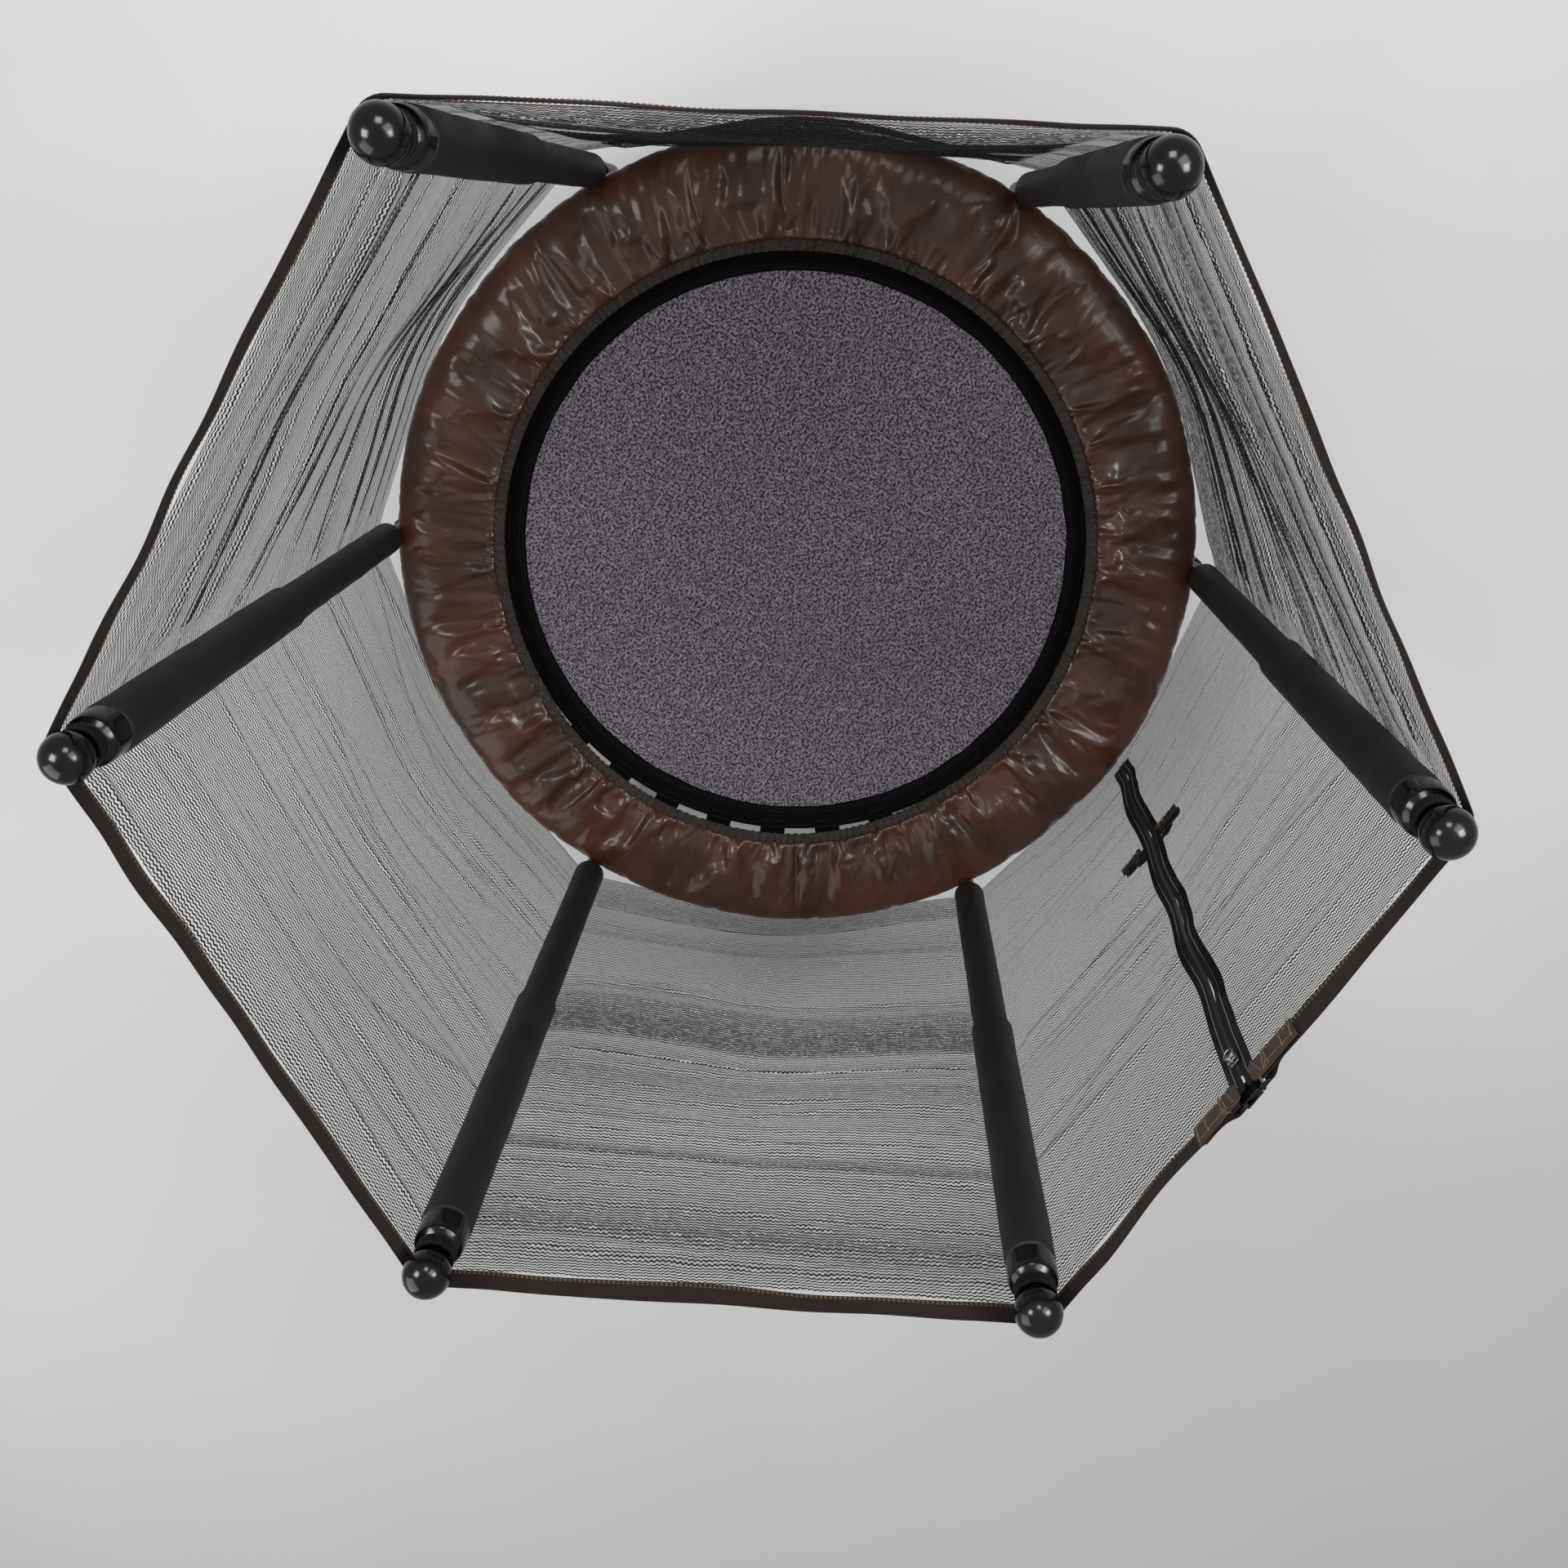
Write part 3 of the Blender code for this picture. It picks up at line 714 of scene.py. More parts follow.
@dataclass(frozen=True)
class RimVinyl(Skin):
    """Brown PVC sheet whose colour drifts at random towards a redder brown."""

    warm: Colour = colour(0.098, 0.0275, 0.0120)

    def dress(self, graph: Graph, shader: bpy.types.Node) -> None:
        """Dusty skin whose colour drifts between two browns."""
        super().dress(graph, shader)
        at = graph.place()
        tone = graph.remap(graph.noise(at, 9.0, 5.0), 0.35, 0.68, 0.0, 1.0)
        drift = graph.mix(tone, self.base, self.warm)
        group = next(n for n in graph.tree.nodes if n.type == "GROUP" and "Dust" in n.inputs)
        graph.feed(group.inputs["Colour"], drift)


@dataclass(frozen=True)
class Woven(Finish):
    """Cloth woven in a plain weave, laid out by its UV in metres."""

    threads: float = 900.0
    lighter: Colour = colour(0.05, 0.05, 0.05)
    depth: float = 0.0004
    see_through: float = 0.0
    mottled: float = 0.25
    fuzz: float = 0.3
    specular: float = 0.25
    speckle: float = 0.0

    def dress(self, graph: Graph, shader: bpy.types.Node) -> None:
        """Weave in colour, normal and holes, with slow mottling."""
        at = graph.cloth()
        weave = WEAVE.place(graph, {"Vector": at, "Threads": self.threads * math.pi})
        mottle = graph.remap(graph.noise(at, 55.0, 6.0), 0.35, 0.7, 0.0, self.mottled)
        tone = graph.plus(graph.times(weave["Height"], 0.8), mottle)
        if self.speckle > 0.0:
            slubs = graph.remap(graph.noise(at, 230.0, 3.0), 0.38, 0.62, 1.0 - self.speckle, 1.0)
            tone = graph.times(tone, slubs)
        graph.fill(shader, {
            "Base Color": graph.mix(tone, self.base, self.lighter),
            "Normal": graph.bump(weave["Height"], self.depth),
            "Specular IOR Level": self.specular, "Sheen Weight": self.fuzz, "Sheen Roughness": 0.5,
        })
        if self.see_through > 0.0:
            open_share = graph.times(weave["Hole"], self.see_through)
            graph.feed(shader.inputs["Alpha"], graph.minus(1.0, open_share))


@dataclass(frozen=True)
class NetYarn(Finish):
    """Black knitted net, open between its rows."""

    row: float = 0.0065
    column: float = 0.0036
    cover: float = 0.43
    depth: float = 0.0008
    lint: Colour = colour(0.03, 0.03, 0.03)

    def dress(self, graph: Graph, shader: bpy.types.Node) -> None:
        """Cut the holes with alpha and round the yarn with bump."""
        at = graph.cloth()
        doubled = graph.node("ShaderNodeAttribute", attribute_name="doubled").outputs["Fac"]
        net = KNIT.place(graph, {"Vector": at, "Row": self.row, "Column": self.column,
                                 "Cover": self.cover, "Doubled": doubled})
        lint = graph.remap(graph.noise(at, 300.0, 3.0), 0.45, 0.75, 0.0, 0.5)
        graph.fill(shader, {
            "Base Color": graph.mix(lint, self.base, self.lint), "Alpha": net["Cover"],
            "Normal": graph.bump(net["Height"], self.depth), "Specular IOR Level": 0.2,
        })


@dataclass(frozen=True)
class Metal(Finish):
    """Bare or plated steel with faint drawing marks."""

    stained: Colour = colour(0.36, 0.33, 0.28)
    depth: float = 0.0002

    def dress(self, graph: Graph, shader: bpy.types.Node) -> None:
        """Vary the roughness and the colour a little."""
        at = graph.place()
        cloud = graph.noise(at, 160.0, 5.0)
        stain = graph.remap(graph.noise(at, 35.0, 4.0), 0.5, 0.75, 0.0, 0.6)
        graph.fill(shader, {
            "Base Color": graph.mix(stain, self.base, self.stained),
            "Roughness": graph.remap(cloud, 0.3, 0.7, 0.22, 0.5),
            "Normal": graph.bump(cloud, self.depth),
        })


@dataclass(frozen=True)
class Matt(Finish):
    """Plain pale surface of the studio."""

    paler: Colour = colour(0.86, 0.86, 0.86)

    def dress(self, graph: Graph, shader: bpy.types.Node) -> None:
        """Slow drift between two pale tones."""
        cloud = graph.noise(graph.place(), 1.5, 2.0)
        graph.fill(shader, {"Base Color": graph.mix(cloud, self.base, self.paler)})


POWDER_COAT = Skin("powder_coat", colour(0.008, 0.008, 0.009), 0.42, grain_scale=1400.0, dust=0.12)
FOAM_SKIN = Skin(
    "foam_sleeve_vinyl", colour(0.0095, 0.0090, 0.0095), 0.58, grain_scale=1300.0, fine=0.5,
    slow=1.4, depth=0.0006, dust=0.10,
)
BALL_GLOSS = Skin(
    "ball_gloss", colour(0.0025, 0.0025, 0.0025), 0.18, fine=0.02, slow=0.25, dust=0.02, coat=0.1,
)
BUCKLE_PLASTIC = Skin("buckle_plastic", colour(0.005, 0.005, 0.006), 0.30, fine=0.2, dust=0.06)
RUBBER = Skin("foot_rubber", colour(0.010, 0.010, 0.010), 0.8, fine=0.6, dust=0.3)
VINYL = RimVinyl(
    "rim_vinyl", colour(0.046, 0.0140, 0.0068), 0.42, grain_scale=1100.0, fine=0.12, slow=1.3,
    depth=0.0005, dust=0.05, coat=0.75, coat_roughness=0.15, coat_ior=1.45,
)
RUFFLE_CLOTH = Woven(
    "ruffle_cloth", colour(0.012, 0.0080, 0.0068), 0.24, threads=1100.0,
    lighter=colour(0.062, 0.042, 0.033), mottled=0.6, fuzz=0.03, specular=1.0,
)
BED_CLOTH = Woven(
    "bed_mesh", colour(0.006, 0.005, 0.007), 0.66, threads=300.0,
    lighter=colour(0.68, 0.59, 0.72), depth=0.0012, see_through=0.35, mottled=0.22, fuzz=0.05,
    speckle=0.92,
)
BORDER_WEBBING = Woven(
    "black_webbing", colour(0.0015, 0.0014, 0.0014), 0.9, threads=700.0,
    lighter=colour(0.006, 0.0055, 0.0055), fuzz=0.03, specular=0.12,
)
HEM_BINDING = Woven(
    "hem_binding", colour(0.0065, 0.0030, 0.0024), 0.72, threads=1400.0,
    lighter=colour(0.030, 0.0145, 0.0115), fuzz=0.06,
)
BROWN_WEBBING = Woven(
    "brown_webbing", colour(0.012, 0.0060, 0.0035), 0.5, threads=900.0,
    lighter=colour(0.060, 0.033, 0.020), fuzz=0.1, specular=0.5,
)
ZIP_CLOTH = Woven(
    "zip_cloth", colour(0.0030, 0.0028, 0.0028), 0.85, threads=1300.0,
    lighter=colour(0.012, 0.011, 0.011), fuzz=0.05, specular=0.15,
)
TAN_THREAD = Woven(
    "tan_thread", colour(0.22, 0.14, 0.065), 0.7, threads=3000.0, lighter=colour(0.62, 0.46, 0.26)
)
PALE_THREAD = Woven(
    "pale_thread", colour(0.22, 0.19, 0.15), 0.7, threads=3000.0, lighter=colour(0.48, 0.43, 0.36)
)
BLACK_THREAD = Woven(
    "black_thread", colour(0.008, 0.008, 0.008), 0.6, threads=3000.0, lighter=colour(0.04, 0.04, 0.04)
)
COIL_NYLON = Skin("zip_coil_nylon", colour(0.012, 0.012, 0.013), 0.5, fine=0.1, dust=0.05)
ZINC = Metal("zinc_steel", colour(0.55, 0.55, 0.54), 0.35, 1.0)
NET_YARN = NetYarn("net_yarn", colour(0.0055, 0.0052, 0.0055), 0.8)
FLOOR = Matt("studio_floor", colour(0.80, 0.80, 0.80), 0.9)


def fit(
    obj: Piece,
    finish: Finish,
    body: Body = Body.FRAME,
    replaces: Iterable[str] = (),
) -> None:
    """Dress a piece, hide the CAD nodes it stands for and seat it on a body."""
    obj.data.materials.clear()
    obj.data.materials.append(finish.material())
    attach(obj, body.value)
    nodes = list(replaces)
    if nodes:
        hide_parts(*nodes)


# ---- layout


@dataclass
class Layout:
    """Main places of the object, read from the frame."""

    sides: int = 6
    tube: float = 0.0145
    pole_tube: float = 0.0125
    net_clearance: float = 0.0325
    net_tie: float = 0.300
    zip_start: float = 0.304
    pole_radius: float = 0.0
    leg_radius: float = 0.0
    ring_height: float = 0.0
    bed_height: float = 0.0
    bed_radius: float = 0.0
    pad_outer: float = 0.0
    ball_height: float = 0.0
    net_low: float = 0.0
    net_top: float = 0.0
    hem_top: float = 0.0
    rim_wall: float = 0.7045

    def __post_init__(self) -> None:
        """Measure the frame's nodes."""
        self.pole_radius = middle("pole_lower_1").x
        self.leg_radius = middle("foot_1").x
        self.ring_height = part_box("frame_section_1")[1].z - self.tube
        self.bed_height = middle("jumping_bed").z
        self.bed_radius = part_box("jumping_bed")[1].x
        self.pad_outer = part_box("rim_pad")[1].x
        self.ball_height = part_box("ball_cap_1")[1].z - 0.0285
        self.net_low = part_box("enclosure_net")[0].z
        self.net_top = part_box("enclosure_net")[1].z
        self.hem_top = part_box("net_hem")[1].z

    def angle(self, number: int) -> float:
        """Angle of a pole in radians, numbered from one."""
        return (number - 1) * TAU / self.sides

    def corners(self) -> list[tuple[int, float, Vector]]:
        """Number, angle and floor point of every pole."""
        numbers = range(1, self.sides + 1)
        return [(n, self.angle(n), polar(self.pole_radius, self.angle(n))) for n in numbers]

    def off_pole(self, turn: Array) -> Array:
        """Angle from the nearest pole."""
        span = TAU / self.sides
        return np.abs((turn + span / 2) % span - span / 2)

    def wall(self, height: Array | float) -> Array:
        """Distance from the axis to the middle of a net panel at a height."""
        top = self.pole_radius * math.cos(math.pi / self.sides) + self.net_clearance
        lift = np.clip((height - self.net_tie) / (self.net_top - self.net_tie), 0.0, 1.0)
        return self.rim_wall + (top - self.rim_wall) * lift

    def belt(self, offset: Array, wall: Array) -> Array:
        """Radius of the net at an angle from the nearest pole, in radians.

        Args:
            offset: Angle from the nearest pole.
            wall: Distance of the panel's middle from the axis.

        Returns:
            Radius of the inner face of the net.
        """
        reach, gap = self.pole_radius, self.net_clearance
        lean = np.arccos(np.clip((wall - gap) / reach, -1.0, 1.0))
        touch = np.arctan2(gap * np.sin(lean), reach + gap * np.cos(lean))
        arc = reach * np.cos(offset) + np.sqrt(
            np.maximum(gap**2 - (reach * np.sin(offset)) ** 2, 0.0)
        )
        line = wall / np.cos(np.maximum(lean - offset, 0.0))
        return np.where(offset <= touch, arc, np.where(offset < lean, line, wall))


def middle(node: str) -> Vector:
    """Middle of a CAD node's box."""
    low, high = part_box(node)
    return (low + high) / 2.0


# ---- frame, legs and poles


@dataclass
class SteelFrame:
    """Round frame tube, legs with pole sockets, feet and bare pole tubes."""

    plan: Layout
    leg_tube: float = 0.0125
    socket_wall: float = 0.004
    socket_low: float = 0.090
    socket_high: float = 0.215
    bore: float = 0.0113
    collar: float = 0.0150
    collar_drop: float = 0.0252
    collar_height: float = 0.019
    bolt_inset: float = 0.030

    def build(self) -> None:
        """Make every steel and rubber piece."""
        for number in range(3):
            self.section(number)
        for number, angle, _ in self.plan.corners():
            self.leg(number, angle)
            self.foot(number, angle)
            self.pole(number, angle)

    def section(self, number: int) -> None:
        """One arc of frame tube with a swaged end and two leg collars."""
        plan = self.plan
        start = TAU / 3 * number - math.pi / plan.sides
        angles = np.linspace(start + 0.0006, start + TAU / 3 - 0.0006, 97)
        path = np.array([polar(plan.leg_radius, a, plan.ring_height) for a in angles])
        parts = [tube("arc", path, plan.tube, 24)]
        lip = np.array([polar(plan.leg_radius, start + a, plan.ring_height) for a in (0.0012, 0.012)])
        parts.append(tube("lip", lip, plan.tube + 0.0006, 24))
        low = plan.ring_height - self.collar_drop
        high = low + self.collar_height
        for leg in (0, 1):
            at = polar(plan.leg_radius, TAU / 3 * number + leg * TAU / plan.sides)
            profile = [(0.0, high), (self.collar, high), (self.collar, low), (0.0, low)]
            parts.append(lathe("collar", rounded(profile, 0.0015), 28, at))
            bead = [polar(self.collar + 0.0006, a, low + 0.0155) for a in np.arange(28) * TAU / 28]
            parts.append(tube("bead", np.array([at + b for b in bead]), 0.0016, 6, closed=True))
        obj = joined(f"frame_tube_{number + 1}", parts)
        fit(obj, POWDER_COAT, replaces=[f"frame_section_{number + 1}"])

    def leg(self, number: int, angle: float) -> None:
        """Leg tube with its web, pole socket and two bolts."""
        plan = self.plan
        at, pole = polar(plan.leg_radius, angle), polar(plan.pole_radius, angle)
        top = plan.ring_height - 0.0255
        wall = [(self.bore, top), (self.leg_tube, top), (self.leg_tube, 0.009), (self.bore, 0.009),
                (self.bore, top - 0.001)]
        leg = lathe("leg", rounded(wall, 0.0006), 28, at)
        outer, inner = plan.pole_tube + self.socket_wall, plan.pole_tube + 0.0003
        low, high = self.socket_low, self.socket_high
        profile = [(0.0, low + 0.005), (inner, low + 0.005), (inner, high), (outer, high),
                   (outer, low), (0.0, low)]
        socket = lathe("socket", rounded(profile, 0.0012)[::-1], 28, pole)
        socket.data.flip_normals()
        web = block("web", (0.0122, -0.004, low + 0.005),
                    (plan.pole_radius - plan.leg_radius - outer + 0.001, 0.004, high - 0.005), 0.001)
        web.matrix_world = Matrix.Translation(at) @ Matrix.Rotation(angle, 4, "Z")
        bake_place(web)
        fit(joined(f"leg_post_{number}", [leg, socket, web]), POWDER_COAT,
            replaces=[f"leg_{number}"])
        bolts = []
        head = [(0.0, 0.0062), (0.0042, 0.0058), (0.0062, 0.0036), (0.0064, 0.0), (0.0, 0.0)]
        turn = Matrix.Rotation(angle, 4, "Z") @ Matrix.Rotation(math.pi / 2, 4, "Y")
        for height in (low + self.bolt_inset, high - self.bolt_inset):
            bolt = lathe("bolt", rounded(head, 0.0012), 24, Vector((0.0, 0.0, 0.0)))
            out = Matrix.Translation(polar(plan.pole_radius + outer - 0.0004, angle, height))
            bolt.matrix_world = out @ turn
            bake_place(bolt)
            bolts.append(bolt)
        fit(joined(f"leg_bolts_{number}", bolts), ZINC)

    def foot(self, number: int, angle: float) -> None:
        """Ribbed rubber cap under a leg."""
        profile = [(0.0129, 0.036), (0.0152, 0.036), (0.0160, 0.0350)]
        for rib in range(4):
            top = 0.031 - rib * 0.006
            profile += [(0.0161, top), (0.0168, top - 0.0015), (0.0168, top - 0.0030),
                        (0.0162, top - 0.0042)]
        profile += [(0.0172, 0.0060), (0.0175, 0.0018), (0.0168, 0.0004), (0.0160, 0.0), (0.0, 0.0)]
        obj = lathe(f"rubber_foot_{number}", [(0.0, 0.008), (0.0129, 0.008)] + profile, 32,
                    polar(self.plan.leg_radius, angle))
        fit(obj, RUBBER, replaces=[f"foot_{number}"])

    def pole(self, number: int, angle: float) -> None:
        """Bare pole tube; the upper half stays the CAD piece inside its sleeve."""
        low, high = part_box(f"pole_lower_{number}")
        radius = self.plan.pole_tube
        profile = [(self.bore, high.z), (radius, high.z), (radius, low.z), (self.bore, low.z),
                   (self.bore, high.z)]
        obj = lathe(f"pole_tube_{number}", profile, 32, polar(self.plan.pole_radius, angle))
        fit(obj, POWDER_COAT, replaces=[f"pole_lower_{number}"])
        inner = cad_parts[f"pole_upper_{number}"]
        for material_slot in inner.material_slots:
            material_slot.material = POWDER_COAT.material()


def bake_place(obj: Piece) -> None:
    """Move an object's transform into its mesh."""
    obj.data.transform(obj.matrix_basis)
    obj.matrix_basis = Matrix.Identity(4)


def ripples(seed: int, waves: int, low: float, high: float) -> Callable[..., Array]:
    """Smooth random field of one or two variables, the same for the same seed.

    Args:
        seed: Seed of the random draws.
        waves: Number of sine waves.
        low: Lowest wave number.
        high: Highest wave number.

    Returns:
        Function whose values lie about between -1 and 1.
    """
    draw = np.random.default_rng(seed)
    pace = draw.uniform(low, high, (waves, 2)) * draw.choice([-1.0, 1.0], (waves, 2))
    phase = draw.uniform(0.0, TAU, waves)

    def field_at(x: Array, y: Array | float = 0.0) -> Array:
        """Value of the field at a place."""
        total = sum(np.sin(a * x + b * y + c) for (a, b), c in zip(pace, phase))
        return total / math.sqrt(waves)

    return field_at


@dataclass
class PoleDress:
    """Foam sleeves, ball caps and the webbing loops at their necks."""

    plan: Layout
    ball: float = 0.0285
    neck: float = 0.0190
    collar: float = 0.0305
    lower_sleeve: float = 0.0270
    upper_sleeve: float = 0.0315
    steps: int = 48

    def build(self) -> None:
        """Dress all six poles."""
        for number, angle, at in self.plan.corners():
            for part, radius, seed in (("lower", self.lower_sleeve, 0), ("upper", self.upper_sleeve, 10)):
                self.sleeve(f"foam_sleeve_{part}_{number}", f"{part}_sleeve_{number}", radius, at,
                            seed + number)
            self.cap(number, at)
            self.loop(number, angle, at)

    def sleeve(self, node: str, name: str, radius: float, at: Vector, seed: int) -> None:
        """Foam tube in a vinyl skin, a little uneven, with tucked ends.

        Args:
            node: CAD node that the sleeve stands for.
            name: Name of the piece.
            radius: Outer radius.
            at: Floor point under the pole.
            seed: Seed of the unevenness.
        """
        low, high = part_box(node)
        bore, tuck = self.plan.pole_tube + 0.0006, 0.0045
        ends = [(bore, 0.0006), (radius * 0.72, 0.0), (radius - tuck * 0.5, 0.0006),
                (radius - tuck * 0.12, tuck * 0.4), (radius, tuck)]
        rows = np.arange(low.z + 0.012, high.z - 0.011, 0.007)
        profile = [(r, high.z - 0.0003 - d) for r, d in ends]
        profile += [(radius, z) for z in rows[::-1]]
        profile += [(r, low.z + 0.0003 + d) for r, d in reversed(ends)]
        obj = lathe(name, profile, self.steps, at)
        uneven = ripples(seed, 9, 2.0, 26.0)
        dents = ripples(seed + 50, 7, 20.0, 90.0)
        for vertex in obj.data.vertices:
            out = Vector((vertex.co.x - at.x, vertex.co.y - at.y, 0.0))
            if out.length < radius - 0.002:
                continue
            turn = math.atan2(out.y, out.x)
            shift = 0.00035 * float(uneven(round(math.cos(turn), 6) * 0.1, vertex.co.z))
            shift += 0.00022 * float(dents(math.sin(turn) * 0.06, vertex.co.z))
            vertex.co += out.normalized() * shift
        fit(obj, FOAM_SKIN, replaces=[node])

    def cap(self, number: int, at: Vector) -> None:
        """Polished ball on a neck and a rounded collar."""
        top, foot = self.plan.ball_height, self.plan.ball_height - 0.0905
        profile = []
        stop = math.pi - math.asin(self.neck / self.ball)
        for i in range(25):
            angle = stop * i / 24
            profile.append((self.ball * math.sin(angle), top + self.ball * math.cos(angle)))
        profile += rounded(
            [(self.neck, top - 0.024), (self.neck, top - 0.0455), (self.collar - 0.007, top - 0.0485),
             (self.collar - 0.0012, top - 0.0535), (self.collar, top - 0.062), (self.collar, foot + 0.002),
             (self.collar - 0.0015, foot), (0.012, foot), (0.0, foot)], 0.0022, 5)
        obj = lathe(f"ball_finial_{number}", profile, 72, at)
        fit(obj, BALL_GLOSS, replaces=[f"ball_cap_{number}"])

    def loop(self, number: int, angle: float, at: Vector) -> None:
        """Stitched webbing loop that ties the corner of the net to the neck."""
        height = self.plan.ball_height - 0.0345
        turns = np.arange(56) * TAU / 56
        wobble = ripples(200 + number, 4, 1.0, 3.0)
        radius = 0.0238 + 0.0006 * wobble(turns)
        radius = radius + 0.0035 * np.exp(-(wrapped(turns - angle) / 0.35) ** 2)
        path = np.array([at + polar(r, t, height) for r, t in zip(radius, turns)])
        across = np.tile(UP, (len(path), 1))
        band = ribbon(f"neck_loop_{number}", path, across, 0.0205, 0.0022, closed=True, lanes=6)
        fit(band, BORDER_WEBBING)
        out = np.array([polar(1.0, t) for t in turns])
        rows = []
        for step in (-0.0078, 0.0078):
            line = path + out * 0.0012 + np.array([0.0, 0.0, step])
            closed = np.concatenate([line, line[:1]])
            lift = np.concatenate([out, out[:1]])
            rows.append(stitch_row("row", closed, lift, NECK_STITCH))
        fit(joined(f"neck_loop_stitches_{number}", rows), BLACK_THREAD)


# ---- jumping bed


@dataclass
class JumpingBed:
    """Woven bed, webbing border with spring tabs, triangle rings and springs."""

    plan: Layout
    border: float = 0.520
    thick: float = 0.003
    tabs: int = 32
    tab_width: float = 0.046
    tab_reach: float = 0.563
    apex: float = 0.584
    coil: float = 0.0052
    spring_wire: float = 0.00125
    spring_turns: int = 19
    lie: float = math.radians(-57.6)
    creases: tuple[tuple[float, ...], ...] = (
        (-0.200, -0.05, 0.060, 0.22, 0.0042), (-0.232, 0.08, 0.140, 0.16, 0.0050),
        (-0.262, -0.12, -0.040, 0.18, 0.0036), (-0.290, 0.03, 0.110, 0.15, 0.0030),
        (0.060, -0.75, 0.150, 0.16, 0.0034), (0.020, -0.85, -0.120, 0.14, 0.0028),
    )

    def build(self) -> None:
        """Make the bed and everything that hangs it in the frame."""
        bed = self.cloth()
        self.band()
        self.tab_loops()
        self.rings()
        for number in range(self.tabs):
            self.spring(number)

    def cloth(self) -> Piece:
        """The bed: drum-tight at its edge, with slack soft folds further in."""
        radii = np.linspace(0.0, self.plan.bed_radius + 0.004, 64)
        turns = np.arange(193) * TAU / 192
        radius, turn = np.meshgrid(radii, turns, indexing="ij")
        x, y = radius * np.cos(turn), radius * np.sin(turn)
        slack = ripples(5, 8, 3.0, 14.0)
        fine = ripples(6, 8, 18.0, 46.0)
        ease = smoothstep((self.plan.bed_radius - radius) / 0.16)
        along = x * math.cos(self.lie) + y * math.sin(self.lie)
        over = y * math.cos(self.lie) - x * math.sin(self.lie)
        drape = ripples(8, 6, 1.5, 4.0)(along * 0.6, over * 3.2)
        z = self.plan.bed_height - 0.006 * ease
        z += ease * (0.0036 * slack(x, y) + 0.0085 * drape + 0.0005 * fine(x, y))
        for level, slope, start, half, deep in self.creases:
            line = over - level - slope * (along - start)
            z -= 1.7 * ease * deep * np.exp(-((line / 0.009) ** 2) - ((along - start) / half) ** 4)
        points = np.stack([x, y, z], axis=-1)
        obj = grid_object("bed_cloth", points[:, :-1], points[:, :, :2], wrap_columns=True)
        weld(obj, WELD)
        fit(obj, BED_CLOTH, Body.BED, ["jumping_bed"])
        return obj

    def band(self) -> None:
        """Webbing border with two rows of stitches."""
        turns = np.arange(288) * TAU / 288
        inner = self.plan.bed_radius + 0.0008 * ripples(7, 9, 10.0, 40.0)(turns)
        centre, half = (inner + self.border) / 2.0, (self.border - inner) / 2.0
        height = self.plan.bed_height
        path = np.array([polar(r, t, height) for r, t in zip(centre, turns)])
        across = np.array([polar(h / half.mean(), t) for h, t in zip(half, turns)])
        obj = ribbon("border_band", path, across, 2 * half.mean(), self.thick, closed=True, lanes=8)
        fit(obj, BORDER_WEBBING, Body.BED, ["bed_border"])
        rows = []
        fine = np.linspace(0.0, TAU, 721)
        up = np.tile(UP, (len(fine), 1))
        for radius in (0.4815, 0.4865, 0.5120):
            line = np.array([polar(radius, t, height + self.thick / 2) for t in fine])
            rows.append(stitch_row("row", line, up, BORDER_STITCH))
        fit(joined("border_stitches", rows), BLACK_THREAD, Body.BED)

    def tab_angle(self, number: int) -> float:
        """Angle of a spring tab in radians."""
        return (number + 0.5) * TAU / self.tabs

    def tab_loops(self) -> None:
        """Short webbing loops folded round the triangle rings, stitched to the border."""
        straps, threads = [], []
        gap = 0.0030
        for number in range(self.tabs):
            turn = self.tab_angle(number)
            tilt = np.linspace(math.pi / 2, -math.pi / 2, 9)
            run = [(r, gap) for r in (0.500, 0.520, 0.545)]
            run += [(self.tab_reach - gap + gap * math.cos(a), gap * math.sin(a)) for a in tilt]
            run += [(r, -gap) for r in (0.545, 0.520, 0.500)]
            path = np.array([polar(r, turn, self.plan.bed_height + h) for r, h in run])
            _, side = spokes(turn)
            straps.append(ribbon("tab", path, np.tile(side, (len(path), 1)), self.tab_width, 0.0016))
            for radius in (0.5045, 0.5165):
                centre = np.array(polar(radius, turn, self.plan.bed_height + gap + 0.0008))
                line = centre + np.linspace(-0.020, 0.020, 12)[:, None] * side
                threads.append(stitch_row("row", line, np.tile(UP, (12, 1)), TAB_STITCH))
        fit(joined("spring_tabs", straps), BORDER_WEBBING, Body.BED)
        fit(joined("tab_stitches", threads), BLACK_THREAD, Body.BED)

    def rings(self) -> None:
        """Triangle of zinc wire in every tab."""
        wires = []
        base, half, apex = self.tab_reach - 0.0030, self.tab_width / 2 + 0.002, self.apex
        outline = rounded([(base, 0.0), (base, half), (apex, 0.0), (base, -half), (base, 0.0)], 0.006, 5)
        for number in range(self.tabs):
            turn = self.tab_angle(number)
            out, side = spokes(turn)
            path = np.array([out * r + side * s for r, s in outline[:-1]])
            path[:, 2] = self.plan.bed_height
            wires.append(tube("ring", path, 0.0016, 8, closed=True))
        fit(joined("triangle_rings", wires), ZINC, Body.BED)

